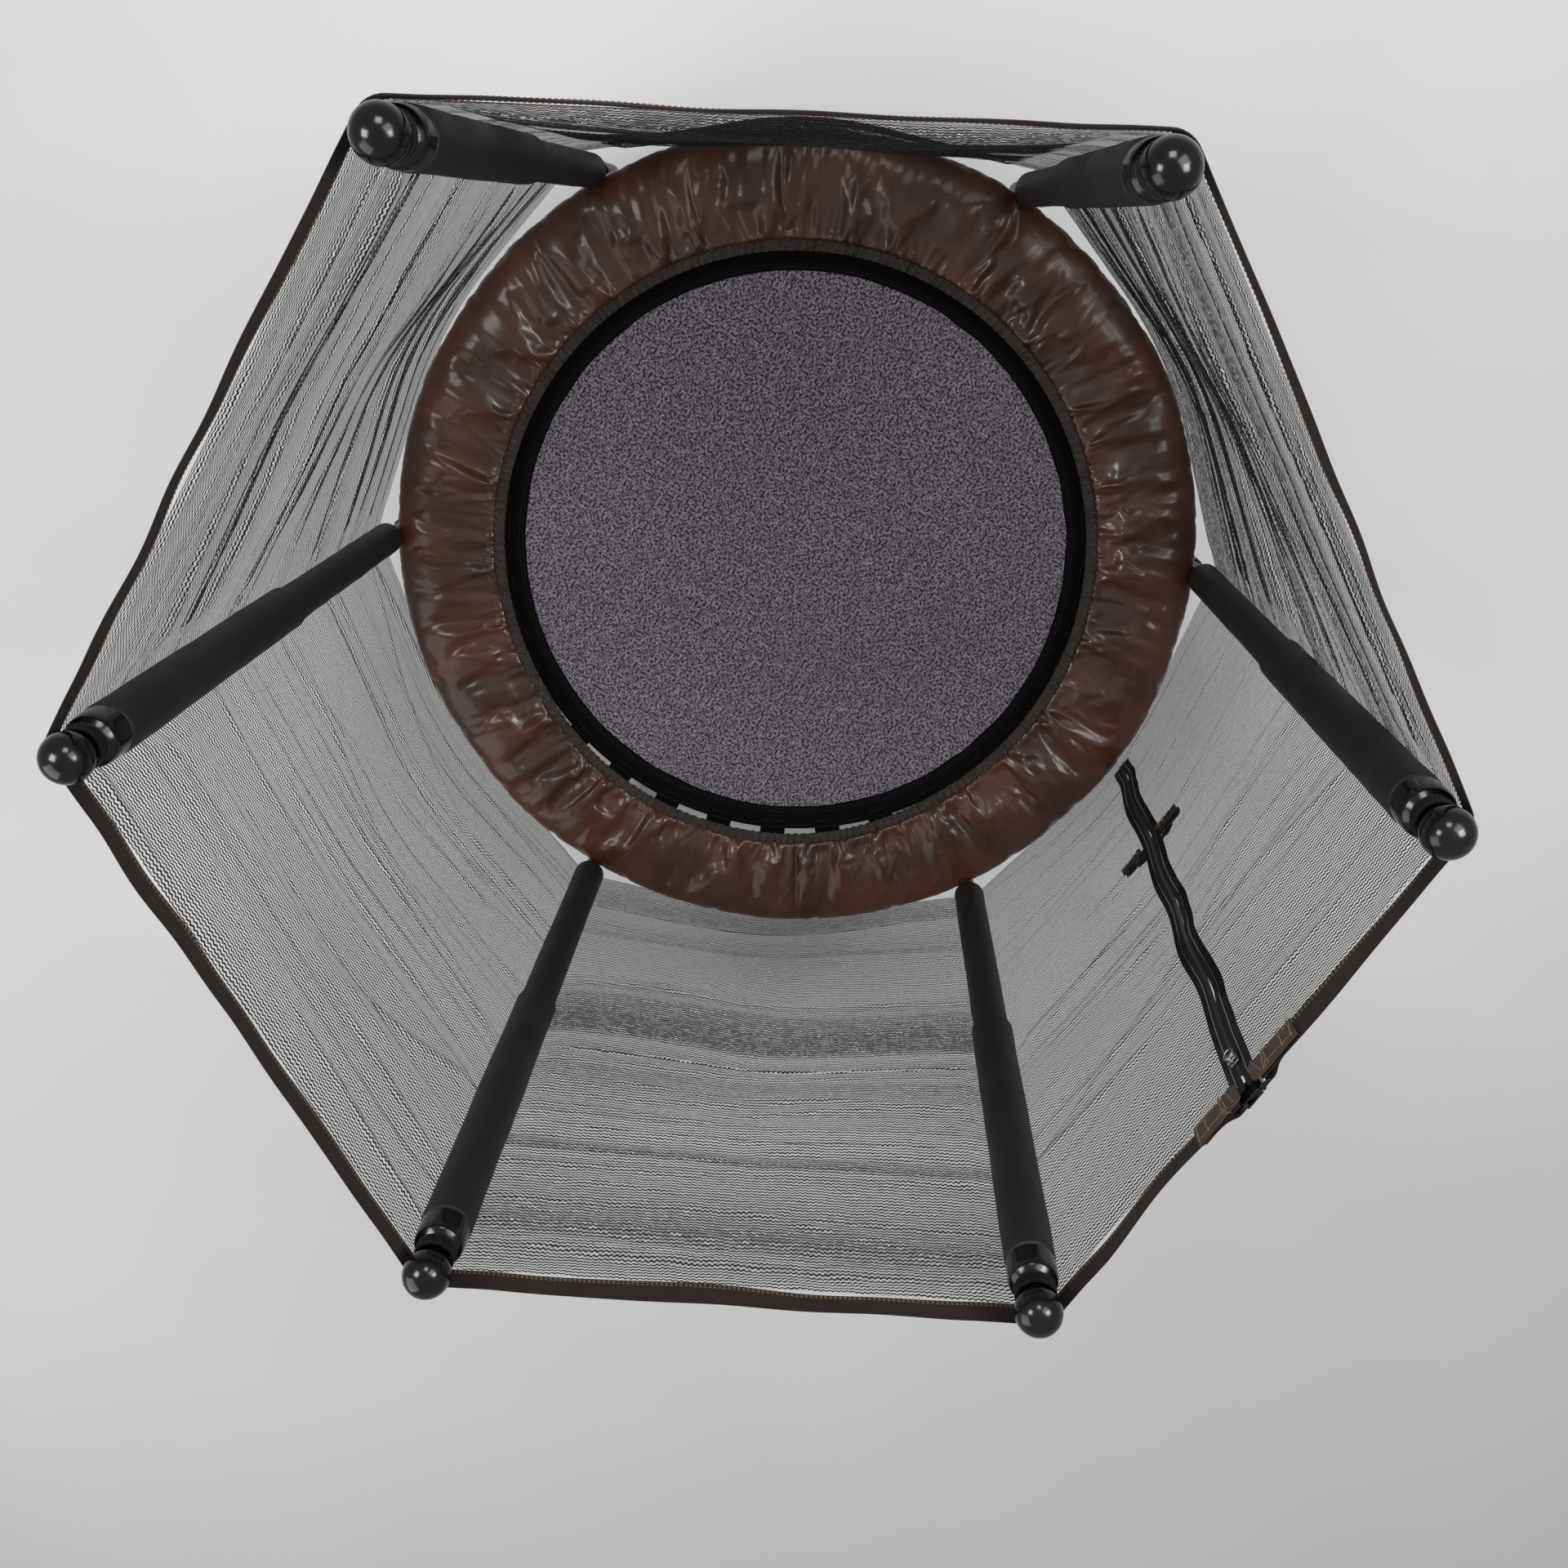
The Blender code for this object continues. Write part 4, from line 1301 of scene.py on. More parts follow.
    def spring(self, number: int) -> None:
        """Extension spring from a triangle ring to the frame tube."""
        plan = self.plan
        coil, turns = self.coil, self.spring_turns
        start, end = self.apex + 0.012, plan.leg_radius - plan.tube - 0.014
        spin = np.linspace(0.0, turns * TAU, turns * 14)
        helix = np.stack([np.linspace(start, end, len(spin)), coil * np.sin(spin),
                          coil * np.cos(spin)], axis=1)
        hook = np.linspace(math.pi * 1.5, math.pi * 0.5, 9)
        tip = self.apex - 0.0010
        near = [(tip + 0.0030 * math.cos(a), 0.0, 0.0038 * math.sin(a)) for a in hook]
        near += [(start - 0.004, 0.0, 0.0046)]
        edge = plan.leg_radius - plan.tube
        far = [(end + 0.004, 0.0, 0.0046), (edge - 0.004, 0.0, 0.0050), (edge + 0.0035, 0.0, 0.0060),
               (edge + 0.0075, 0.0, 0.0040)]
        path = np.concatenate([np.array(near), helix, np.array(far)])
        turn = self.tab_angle(number)
        out, side = spokes(turn)
        world = path[:, :1] * out + path[:, 1:2] * side
        world[:, 2] = plan.bed_height + path[:, 2]
        obj = tube(f"spring_{number + 1}", world, self.spring_wire, 6)
        obj.data.materials.append(ZINC.material())
        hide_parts("spring_set")
        polar(end, turn, plan.bed_height)
        polar(start, turn, plan.bed_height)
        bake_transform(obj)


# ---- rim pad


@dataclass
class RimPad:
    """Puffy vinyl ring over the springs with a gathered inner edge."""

    plan: Layout
    inner: float = 0.5235
    edge: float = 0.5080
    slip: float = 0.0125
    slip_angle: float = math.radians(196.0)
    slip_reach: float = math.radians(38.0)
    columns: int = 720
    lanes: int = 26
    swell_cap: float = 0.0060
    seam: float = math.radians(213.0)
    creases: int = 480
    pleats: int = 236
    ruffle_width: float = 0.022
    gathering: float = 1.35

    def build(self) -> None:
        """Make the vinyl cover, the ruffle and their seams."""
        cover = self.cover()
        self.ruffle()
        self.seam_stitches()

    def crown(self) -> Array:
        """Top side of the cover's section, from the inner seam over the foam and down the skirt."""
        skirt = self.plan.pad_outer - 0.0010
        return np.array(rounded(
            [(self.inner, 0.2985), (self.inner + 0.008, 0.3060), (0.566, 0.3145), (0.612, 0.3185),
             (0.655, 0.3150), (skirt - 0.006, 0.3000), (skirt, 0.2860), (skirt, 0.2585)], 0.03, 6))

    def outline(self) -> tuple[Array, int]:
        """Closed section of the cover and the number of its points that are free to move."""
        top = resample(self.crown(), self.lanes)
        skirt = self.plan.pad_outer - 0.0045
        under = resample(np.array([(skirt, 0.2585), (skirt, 0.2870), (0.684, 0.2915),
                                   (0.560, 0.2935), (self.inner + 0.001, 0.2955)]), 9)
        return np.concatenate([top, under]), len(top)

    def shift(self, turn: Array) -> Array:
        """How far the slack inner edge has been pulled outwards at an angle."""
        off = wrapped(turn - self.slip_angle)
        return self.slip * np.exp(-((off / self.slip_reach) ** 4))

    def cover(self) -> Piece:
        """Vinyl cover: a ring of slack cloth blown up over its foam, so that it wrinkles by itself."""
        outline, free = self.outline()
        turns = -np.arange(self.columns) * TAU / self.columns
        start = ripples(31, 12, 12.0, 60.0)
        rise = np.zeros(len(outline))
        rise[:free] = np.sin(np.linspace(0.0, math.pi, free))
        across, about = np.meshgrid(np.arange(len(outline)), turns, indexing="ij")
        bump = 0.0009 * rise[across] * start(np.cos(about), np.sin(about))
        radius = outline[:, 0][across]
        height = outline[:, 1][across] + bump
        radius = radius + self.shift(about) * smoothstep((0.600 - radius) / 0.060)
        points = around_axis(radius, about, height)
        obj = grid_object("rim_cover", points, wrap_rows=True, wrap_columns=True)
        before = points.reshape(-1, 3)
        self.swell(obj, free)
        moved = get_points(obj) - before
        length = np.linalg.norm(moved, axis=1)
        held = before + moved * np.minimum(1.0, self.swell_cap / np.maximum(length, 1e-9))[:, None]
        set_points(obj, held)
        with_modifier(obj, "SUBSURF", levels=1, render_levels=1)
        self.crease(obj)
        obj.data.shade_smooth()
        fit(obj, VINYL, replaces=["rim_pad"])
        return obj

    def swell(self, obj: Piece, free: int) -> None:
        """Run the cloth over its held edges.

        Args:
            obj: Closed ring, its rows one after the other from the inner seam.
            free: Rows of the top side.
        """
        rows = np.repeat(np.arange(len(obj.data.vertices) // self.columns), self.columns)
        pin = obj.vertex_groups.new(name="held")
        pin.add(np.flatnonzero((rows < 1) | (rows >= free - 3)).tolist(), 1.0, "REPLACE")
        slack = obj.vertex_groups.new(name="slack")
        for row in range(1, free):
            share = min(1.0, row / (free * 0.62))
            slack.add(np.flatnonzero(rows == row).tolist(), share, "REPLACE")
        cloth = obj.modifiers.new("cloth", "CLOTH")
        vinyl = {
            "vertex_group_mass": "held", "vertex_group_shrink": "slack", "shrink_min": -0.16,
            "shrink_max": -0.035, "quality": 5, "mass": 0.25, "bending_model": "ANGULAR",
            "bending_stiffness": 0.35, "tension_stiffness": 25.0, "compression_stiffness": 25.0,
            "shear_stiffness": 12.0, "air_damping": 1.5, "use_pressure": True,
            "uniform_pressure_force": 2.2,
        }
        for key, value in vinyl.items():
            setattr(cloth.settings, key, value)
        cloth.settings.effector_weights.gravity = 0.0
        cloth.collision_settings.use_collision = False
        cloth.point_cache.frame_end = 22
        scene = bpy.context.scene
        for step in range(1, 21):
            scene.frame_set(step)
        apply_modifiers(obj)
        scene.frame_set(1)
        obj.vertex_groups.clear()

    def crease(self, obj: Piece) -> None:
        """Press the gathers, the stray creases and the cross seam into the cover's top."""
        points = get_points(obj)
        turns = np.arctan2(points[:, 1], points[:, 0])
        radius = np.hypot(points[:, 0], points[:, 1])
        depth = radius - self.shift(turns) - self.inner
        top = smoothstep((points[:, 2] - 0.296) / 0.005) * smoothstep(depth / 0.002)
        draw = np.random.default_rng(33)
        bulge = ripples(37, 16, 50.0, 125.0)(np.cos(turns + 0.25 * depth), np.sin(turns + 0.25 * depth))
        lift = 0.0010 * bulge * smoothstep(depth / 0.03) * smoothstep((0.165 - depth) / 0.03)
        for _ in range(self.creases):
            middle, slant = draw.uniform(-math.pi, math.pi), draw.normal(0.0, 0.30)
            reach = 0.030 + 0.140 * draw.random() ** 1.2
            start = 0.0 if draw.random() < 0.72 else draw.uniform(0.01, 0.09)
            wide, tall = draw.uniform(0.0030, 0.0075), draw.uniform(0.0003, 0.0015)
            off = wrapped(turns - middle) * 0.58
            near = np.flatnonzero(np.abs(off) < 0.07)
            run = (depth[near] - start) / reach
            fade = smoothstep(run / 0.12) if start else 1.0
            fade = fade * smoothstep(1.0 - run) * (run > -0.2)
            side = (off[near] - slant * depth[near] * (1.0 + 2.0 * depth[near])) / wide
            lift[near] += tall * fade * (np.exp(-side**2) - 0.55 * np.exp(-((side - 1.5) ** 2)))
        off = wrapped(turns - self.seam) * 0.62
        sunk = np.exp(-((off / 0.0035) ** 2)) - 0.35 * np.exp(-((np.abs(off) - 0.012) / 0.006) ** 2)
        points[:, 2] += (np.clip(lift, -0.0045, 0.0062) - 0.0034 * sunk) * top
        set_points(obj, points)

    def ruffle(self) -> None:
        """Elastic ruffle of tightly pleated cloth along the inner edge."""
        count = self.pleats * 10
        turns = np.arange(count) * TAU / count
        across = np.linspace(0.0, 1.0, 9)
        share, turn = np.meshgrid(across, turns, indexing="ij")
        drift = ripples(35, 10, 8.0, 40.0)(np.cos(turn), np.sin(turn))
        tall = 0.0032 * (1.0 + 0.45 * ripples(36, 10, 20.0, 90.0)(np.cos(turn), np.sin(turn)))
        held = 0.35 + 0.65 * np.abs(np.sin(math.pi * (share * 1.6 + 0.12)))
        wave = np.sin(turn * self.pleats + 1.3 * drift + 0.6 * share)
        radius = self.edge + self.shift(turn) + share * 0.0175
        radius += 0.0007 * np.cos(turn * self.pleats + drift) * held
        height = 0.2992 + 0.0040 * share + tall * held * wave
        points = around_axis(radius, turn, height)
        length = TAU * 0.53 * self.gathering
        along = np.linspace(0.0, length, count + 1)
        uv = np.stack(np.broadcast_arrays(along[None, :], across[:, None] * self.ruffle_width), axis=-1)
        obj = grid_object("inner_ruffle", points[::-1], uv[::-1], wrap_columns=True)
        with_modifier(obj, "SOLIDIFY", thickness=0.0008, offset=0.0)
        fit(obj, RUFFLE_CLOTH)

    def seam_stitches(self) -> None:
        """Stitch line of the ruffle."""
        turns = np.linspace(0.0, TAU, 900)
        up = np.tile(UP, (len(turns), 1))
        line = np.array([polar(self.inner - 0.0012 + float(self.shift(t)), t, 0.3032) for t in turns])
        fit(stitch_row("ruffle_stitches", line, up, RUFFLE_STITCH), BLACK_THREAD)


# ---- enclosure net


@dataclass(frozen=True)
class Folds:
    """Creases of one net panel.

    middle is the angle of the panel's middle, count the number of creases that run from pole to
    pole, stray the number of short ones, depth how far the pleats stand in and out, slant how
    steeply the short ones climb, doubled how dark a crease is where the net lies over itself,
    thick how much of the cloth between creases is doubled, and sag how far the slack panel hangs
    inwards below the hem. On the panel at 210 degrees the heavy doubling is partly painted shade:
    it darkens the net as shadow beneath it would.
    """

    middle: float
    count: int
    stray: int
    depth: float
    slant: float
    doubled: float
    thick: float
    sag: float = 0.0


@dataclass
class Enclosure:
    """Net round the poles with its hem, its ties and the slit for the door."""

    plan: Layout
    door: float = math.radians(270.0)
    slit: float = 0.012
    hem_slit: float = 0.020
    row_step: float = 0.0030
    columns: int = 420
    panel_width: float = 0.74
    panels: tuple[Folds, ...] = (
        Folds(30.0, 62, 26, 0.0042, 0.05, 0.95, 0.62, 0.026),
        Folds(90.0, 58, 24, 0.0046, 0.08, 0.90, 0.34, 0.005),
        Folds(150.0, 22, 26, 0.0028, 0.20, 0.85, 0.07),
        # This panel's doubling is partly real and partly painted shade, darkening the net like shadow
        # beneath it.
        Folds(210.0, 44, 24, 0.0024, 0.08, 0.60, 0.48, 0.003),
        Folds(270.0, 18, 20, 0.0026, 0.16, 0.75, 0.06),
        Folds(330.0, 66, 28, 0.0044, 0.06, 0.95, 0.66, 0.006),
    )

    def build(self) -> None:
        """Make the net, hem and ties."""
        net = self.net()
        hem = self.hem()
        self.ties()

    def radius(self, turn: Array, wall: Array) -> Array:
        """Radius of the net's inner face at an angle."""
        return self.plan.belt(self.plan.off_pole(turn), wall)

    def relief(self, turn: Array, height: Array) -> tuple[Array, Array]:
        """Creases, panel by panel.

        Args:
            turn: Angle of each point in radians.
            height: Height of each point.

        Returns:
            Distance to move each point outwards, and how far the net is doubled there.
        """
        span = math.pi / self.plan.sides
        total, doubled = np.zeros_like(turn), np.zeros_like(turn)
        for number, panel in enumerate(self.panels):
            off = wrapped(turn - math.radians(panel.middle))
            columns = np.flatnonzero((np.abs(off) < span + 0.03).any(axis=0))
            near = off[:, columns]
            push, lap = self.pleats(panel, number, near * self.plan.rim_wall, height[:, columns])
            share = smoothstep((span + 0.02 - np.abs(near)) / 0.06)
            bow = np.clip(1.0 - (near / span) ** 2, 0.0, 1.0)
            bow = bow * smoothstep((height[:, columns] - 0.42) / 0.40)
            bow = bow * smoothstep((self.plan.net_top - height[:, columns]) / 0.12)
            total[:, columns] += share * push - panel.sag * bow
            edge = smoothstep((span + 0.006 - np.abs(near)) / 0.012)
            doubled[:, columns] = np.maximum(doubled[:, columns], edge * lap)
        soft = 0.0040 * ripples(79, 7, 3.0, 11.0)(np.cos(turn) * 0.7 + height, np.sin(turn) * 0.7)
        ends = smoothstep((self.plan.net_top - height) / 0.04)
        foot = smoothstep((height - self.plan.net_low) / 0.05)
        return (total + soft) * (0.08 + 0.92 * ends) * (0.3 + 0.7 * foot), doubled * ends

    def pleats(self, panel: Folds, number: int, along: Array, level: Array) -> tuple[Array, Array]:
        """Pleats between long creases, and short stray creases across them.

        Args:
            panel: Sizes of the panel's creases.
            number: Panel number, for its random draw.
            along: Distance along the panel from its middle.
            level: Height of each point.

        Returns:
            Outward distance and share of doubled net.
        """
        draw = np.random.default_rng(180 + number)
        low, high = self.plan.net_low, self.plan.net_top
        warp = level + 0.009 * ripples(75 + number, 5, 2.0, 7.0)(along, level * 0.4)
        warp += 0.0022 * ripples(85 + number, 6, 9.0, 30.0)(along, level * 1.5)
        at = np.sort(draw.uniform(low - 0.02, high + 0.02, panel.count))
        stand = panel.depth * draw.uniform(-1.0, 0.6, panel.count)
        push = np.interp(warp, at, stand)
        # Doubled net between creases; on the panel at 210 degrees it is partly painted shade.
        layers = draw.uniform(0.2, 1.0, panel.count + 1) ** 1.5 * 1.6 * panel.thick
        soft_edge = np.interp(warp, at, layers[1:])
        lap = 0.30 * layers[np.searchsorted(at, warp)] + 0.70 * soft_edge
        dark = panel.doubled * draw.uniform(0.35, 1.0, panel.count)
        for line, strength, width in zip(at, dark, draw.uniform(0.0024, 0.0046, panel.count)):
            patchy = 0.75 + 0.25 * np.sin(along * 9.0 + line * 90.0)
            lap = np.maximum(lap, strength * patchy * np.exp(-(((warp - line) / width) ** 2)))
        for _ in range(panel.stray):
            centre, start = draw.uniform(low, high), draw.uniform(-0.34, 0.34)
            slope, reach = draw.normal(0.0, panel.slant), draw.uniform(0.10, 0.30)
            line = warp - centre - slope * (along - start)
            fade = np.exp(-(((along - start) / reach) ** 4)) * draw.uniform(0.4, 1.0)
            push -= panel.depth * fade * np.exp(-((line / 0.008) ** 2))
            lap = np.maximum(lap, panel.doubled * fade * np.exp(-((line / 0.0034) ** 2)))
        return push, np.clip(lap, 0.0, 1.0)

    def place(self, turn: Array, height: Array) -> tuple[Array, Array]:
        """Points of the net at angles and heights, and how far it is doubled at each."""
        wall = self.plan.wall(height)
        from_pole = self.plan.off_pole(turn) * self.plan.pole_radius
        relief, doubled = self.relief(turn, height)
        relief = np.maximum(relief, -0.0002 - 0.35 * np.maximum(from_pole - 0.040, 0.0))
        relief = np.where(from_pole < 0.060, np.minimum(relief, 0.004), np.minimum(relief, 0.008))
        radius = self.radius(turn, wall) + 0.0006 + relief
        return around_axis(radius, turn, height), doubled

    def net(self) -> Piece:
        """The net: one strip from door edge to door edge, whole again below the zip."""
        plan = self.plan
        rows = np.linspace(plan.net_low, plan.net_top, int((plan.net_top - plan.net_low) / self.row_step))
        low = int(np.searchsorted(rows, plan.zip_start))
        half = self.slit / plan.wall(rows)[:, None]
        share = np.linspace(0.0, 1.0, self.columns)
        turn = self.door + half + share[None, :] * (TAU - 2.0 * half)
        height = np.broadcast_to(rows[:, None], turn.shape)
        wide = self.place(turn, height)
        across = np.linspace(-1.0, 1.0, 6)
        patch_turn = self.door + across[None, :] * half[: low + 1]
        patch = self.place(patch_turn, np.broadcast_to(rows[: low + 1, None], patch_turn.shape))
        pieces = []
        for name, (points, doubled) in (("net", wide), ("bridge", patch)):
            along = np.linalg.norm(np.diff(points, axis=1), axis=2)
            u = np.concatenate([np.zeros((len(points), 1)), np.cumsum(along, axis=1)], axis=1)
            up = np.linalg.norm(np.diff(points, axis=0), axis=2)
            v = np.concatenate([np.zeros((1, points.shape[1])), np.cumsum(up, axis=0)], axis=0)
            v = 0.7 * v + 0.3 * v.mean(axis=1, keepdims=True)
            piece = grid_object(name, points, np.stack([u, v], axis=-1))
            layer = piece.data.attributes.new("doubled", "FLOAT", "POINT")
            layer.data.foreach_set("value", doubled.astype(np.float32).ravel())
            pieces.append(piece)
        obj = joined("net_cloth", pieces)
        weld(obj, 2e-5)
        fit(obj, NET_YARN, replaces=["enclosure_net"])
        return obj

    def rim_line(self, height: float, out: float, count: int = 720) -> tuple[Array, Array]:
        """Open line round the hem from one side of the door to the other, with outward directions.

        Args:
            height: Height of the line.
            out: Distance outside the net's inner face.
            count: Number of points.

        Returns:
            The points and the outward unit directions.
        """
        half = self.hem_slit / float(self.plan.wall(self.plan.net_top))
        turn = np.linspace(self.door + half, self.door - half + TAU, count)
        wall = np.full(count, float(self.plan.wall(self.plan.net_top)))
        wavy = 0.0016 * ripples(90, 10, 6.0, 30.0)(np.cos(turn), np.sin(turn))
        free = smoothstep((self.plan.off_pole(turn) - 0.05) / 0.10)
        radius = self.radius(turn, wall) + out + wavy * free
        lift = 0.0018 * ripples(91, 8, 5.0, 22.0)(np.cos(turn), np.sin(turn))
        rise = lift * free
        points = around_axis(radius, turn, height + rise)
        tangent = np.gradient(points, axis=0)
        outward = np.stack([tangent[:, 1], -tangent[:, 0], 0.0 * turn], axis=-1)
        return points, outward / np.linalg.norm(outward, axis=1)[:, None]

    def hem(self) -> Piece:
        """Folded brown binding with dashed stitching on both faces."""
        low, high = self.plan.net_top + 0.0006, self.plan.hem_top
        path, outward = self.rim_line((low + high) / 2.0, 0.00175)
        curl = 0.07 * ripples(92, 9, 6.0, 26.0)(path[:, 0], path[:, 1])
        across = np.array([0.0, 0.0, 1.0]) + outward * curl[:, None]
        across /= np.linalg.norm(across, axis=1)[:, None]
        obj = ribbon("hem_binding", path, across, high - low, 0.0032, lanes=8)
        fit(obj, HEM_BINDING, replaces=["net_hem"])
        rows = []
        for step in (-0.0118, -0.0088):
            for face in (-1.0, 1.0):
                line = path + across * step + outward * face * 0.00155
                rows.append(stitch_row("row", line[4:-4], outward[4:-4] * face, HEM_STITCH))
        fit(joined("hem_stitches", rows), TAN_THREAD)
        return obj

    def ties(self) -> None:
        """Webbing loops that hold the net to the feet of the poles."""
        straps, threads = [], []
        for _, angle, at in self.plan.corners():
            out, side = spokes(angle)
            ring = [0.0158 * (math.cos(a) * out + math.sin(a) * side)
                    for a in np.linspace(math.radians(35), math.radians(325), 22)]
            tail = [out * 0.0300 + side * 0.0024, out * 0.0225 + side * 0.0024]
            away = [out * 0.0225 - side * 0.0024, out * 0.0300 - side * 0.0024]
            path = np.array([np.array(at) + p for p in tail + ring + away])
            path[:, 2] = 0.2985
            across = np.tile(UP, (len(path), 1))
            straps.append(ribbon("tie", path, across, 0.019, 0.0018))
            face = np.array([np.array(at) + out * r + side * 0.0035 + np.array([0.0, 0.0, 0.2985])
                             for r in np.linspace(0.0215, 0.0300, 5)])
            for step in (-0.006, 0.006):
                line = face + np.array([0.0, 0.0, step])
                threads.append(stitch_row("row", line, np.tile(side, (5, 1)), TIE_STITCH))
        fit(joined("pole_ties", straps), BORDER_WEBBING)
        fit(joined("tie_stitches", threads), BLACK_THREAD)


# ---- door zip


@dataclass
class DoorZip:
    """Coil zip in the middle of the door panel, with its slider and ring pull."""

    plan: Layout
    tape_half: float = 0.0208
    tape_thick: float = 0.0012
    tape_end: float = 0.024
    ring_radius: float = 0.0070
    ring_wire: float = 0.0012
    coil_pitch: float = 0.0026
    coil_wire: float = 0.00052

    def build(self) -> None:
        """Make the tapes, the coils, the slider and the ring."""
        tapes = self.tapes()
        self.coils()
        self.slider()
        self.ring()

    def centre_line(self, inward: float, count: int, past: float = -0.0004) -> tuple[Array, Array]:
        """Line up the middle of the door and its inward direction.

        Args:
            inward: Distance inside the net.
            count: Number of points.
            past: How far the line runs on past the top of the net.

        Returns:
            The points and the inward unit direction.
        """
        height = np.linspace(self.plan.zip_start + 0.0004, self.plan.net_top + past, count)
        wall = self.plan.wall(height)
        drop = self.plan.rim_wall - float(self.plan.wall(self.plan.net_top))
        lean = math.atan2(drop, self.plan.net_top - self.plan.net_tie)
        into = np.array([0.0, math.cos(lean), -math.sin(lean)])
        points = np.stack([0.0 * height, -wall, height], axis=-1) + into * inward
        return points, into

    def wave(self, count: int) -> Array:
        """Small sideways wander of the tapes."""
        height = np.linspace(self.plan.zip_start, self.plan.net_top, count)
        ends = smoothstep((self.plan.net_top - height) / 0.10)
        ends = ends * smoothstep((height - self.plan.zip_start) / 0.10)
        return 0.0034 * ripples(120, 5, 9.0, 30.0)(height) * ends

    def tapes(self) -> Piece:
        """Two woven tapes and their two stitch lines."""
        count = 230
        path, into = self.centre_line(-0.0004, count, self.tape_end)
        height = path[:, 2]
        path = path + into * (0.0011 * smoothstep((height - self.plan.net_top + 0.03) / 0.03))[:, None]
        flutter = 0.0009 * ripples(121, 8, 30.0, 90.0)(height)
        flutter = flutter * smoothstep((self.plan.net_top - height) / 0.12)
        parts, rows = [], []
        for side in (-1.0, 1.0):
            middle_x = side * (self.tape_half + 0.0016) / 2.0
            line = path + into * (flutter * (0.5 + 0.5 * side))[:, None]
            line[:, 0] = middle_x + self.wave(count)
            across = np.tile([1.0, 0.0, 0.0], (count, 1))
            parts.append(ribbon("tape", line, across, self.tape_half - 0.0016, self.tape_thick, lanes=6))
            for face in (1.0, -1.0):
                seam = line + into * face * self.tape_thick / 2.0
                seam[:, 0] = side * 0.0108 + self.wave(count)
                lift = np.tile(into * face, (count - 4, 1))
                rows.append(stitch_row("row", seam[2:-2], lift, ZIP_STITCH))
        obj = joined("zip_tapes", parts)
        fit(obj, ZIP_CLOTH, replaces=["zip_tape"])
        fit(joined("zip_stitches", rows), PALE_THREAD)
        return obj

    def coils(self) -> None:
        """Two nylon coils that mesh into the row of teeth."""
        height = self.plan.net_top - self.plan.zip_start - 0.002
        turns = int(height / self.coil_pitch)
        count = turns * 8
        path, into = self.centre_line(0.0007, count)
        spin = np.linspace(0.0, turns * TAU, count)
        parts = []
        for side, phase in ((-1.0, 0.0), (1.0, math.pi)):
            line = path.copy()
            line[:, 0] = side * 0.0010 + 0.0019 * np.cos(spin + phase) + 0.6 * self.wave(count)
            line += into * (0.00055 * np.sin(spin + phase))[:, None]
            parts.append(tube("coil", line, self.coil_wire, 5))
        fit(joined("zip_coils", parts), COIL_NYLON)

    def frame_at(self, node: str) -> Matrix:
        """Place of the slider, with X across, Y inwards and Z up the zip."""
        centre = middle(node)
        _, into = self.centre_line(0.0, 2)
        inward = Vector(into)
        across = Vector((1.0, 0.0, 0.0))
        turn = Matrix((across, inward, across.cross(inward))).transposed()
        return Matrix.Translation(centre) @ turn.to_4x4()

    def slider(self) -> None:
        """Slider body: two shield-shaped plates, a post and a lug for the ring."""
        low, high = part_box("zip_slider")
        depth, tall, half = 0.0062, high.z - low.z - 0.0026, (high.x - low.x) / 2.0
        end = tall / 2
        parts = [
            block("front", (-half, 0.0002, -end), (half, 0.0022, end), 0.0007),
            block("back", (-half, -0.0046, -end), (half, -0.0026, end), 0.0007),
            block("post", (-0.0012, -0.0030, end - 0.0030), (0.0012, 0.0006, end), 0.0003),
            block("flange_left", (-half, -0.0044, -end), (-half + 0.0010, 0.0020, 0.002), 0.0004),
            block("flange_right", (half - 0.0010, -0.0044, -end), (half, 0.0020, 0.002), 0.0004),
        ]
        arch = [(0.0, 0.0016 + depth * 0.70 * math.sin(a), 0.0008 - 0.0052 * math.cos(a))
                for a in np.linspace(0.12, math.pi - 0.12, 15)]
        parts.append(tube("lug", np.array(arch), 0.0008, 8))
        obj = joined("slider_body", parts)
        obj.matrix_world = self.frame_at("zip_slider")
        bake_place(obj)
        fit(obj, ZINC, Body.SLIDER, ["zip_slider"])

    def ring(self) -> None:
        """Wire ring that hangs from the lug."""
        centre = middle("zip_pull")
        turns = np.arange(64) * TAU / 64
        path = np.array([(self.ring_radius * math.sin(t), 0.0, self.ring_radius * math.cos(t))
                         for t in turns]) + np.array(centre)
        obj = tube("pull_ring", path, self.ring_wire, 12, closed=True)
        fit(obj, ZINC, Body.PULL, ["zip_pull"])


# ---- buckles and straps


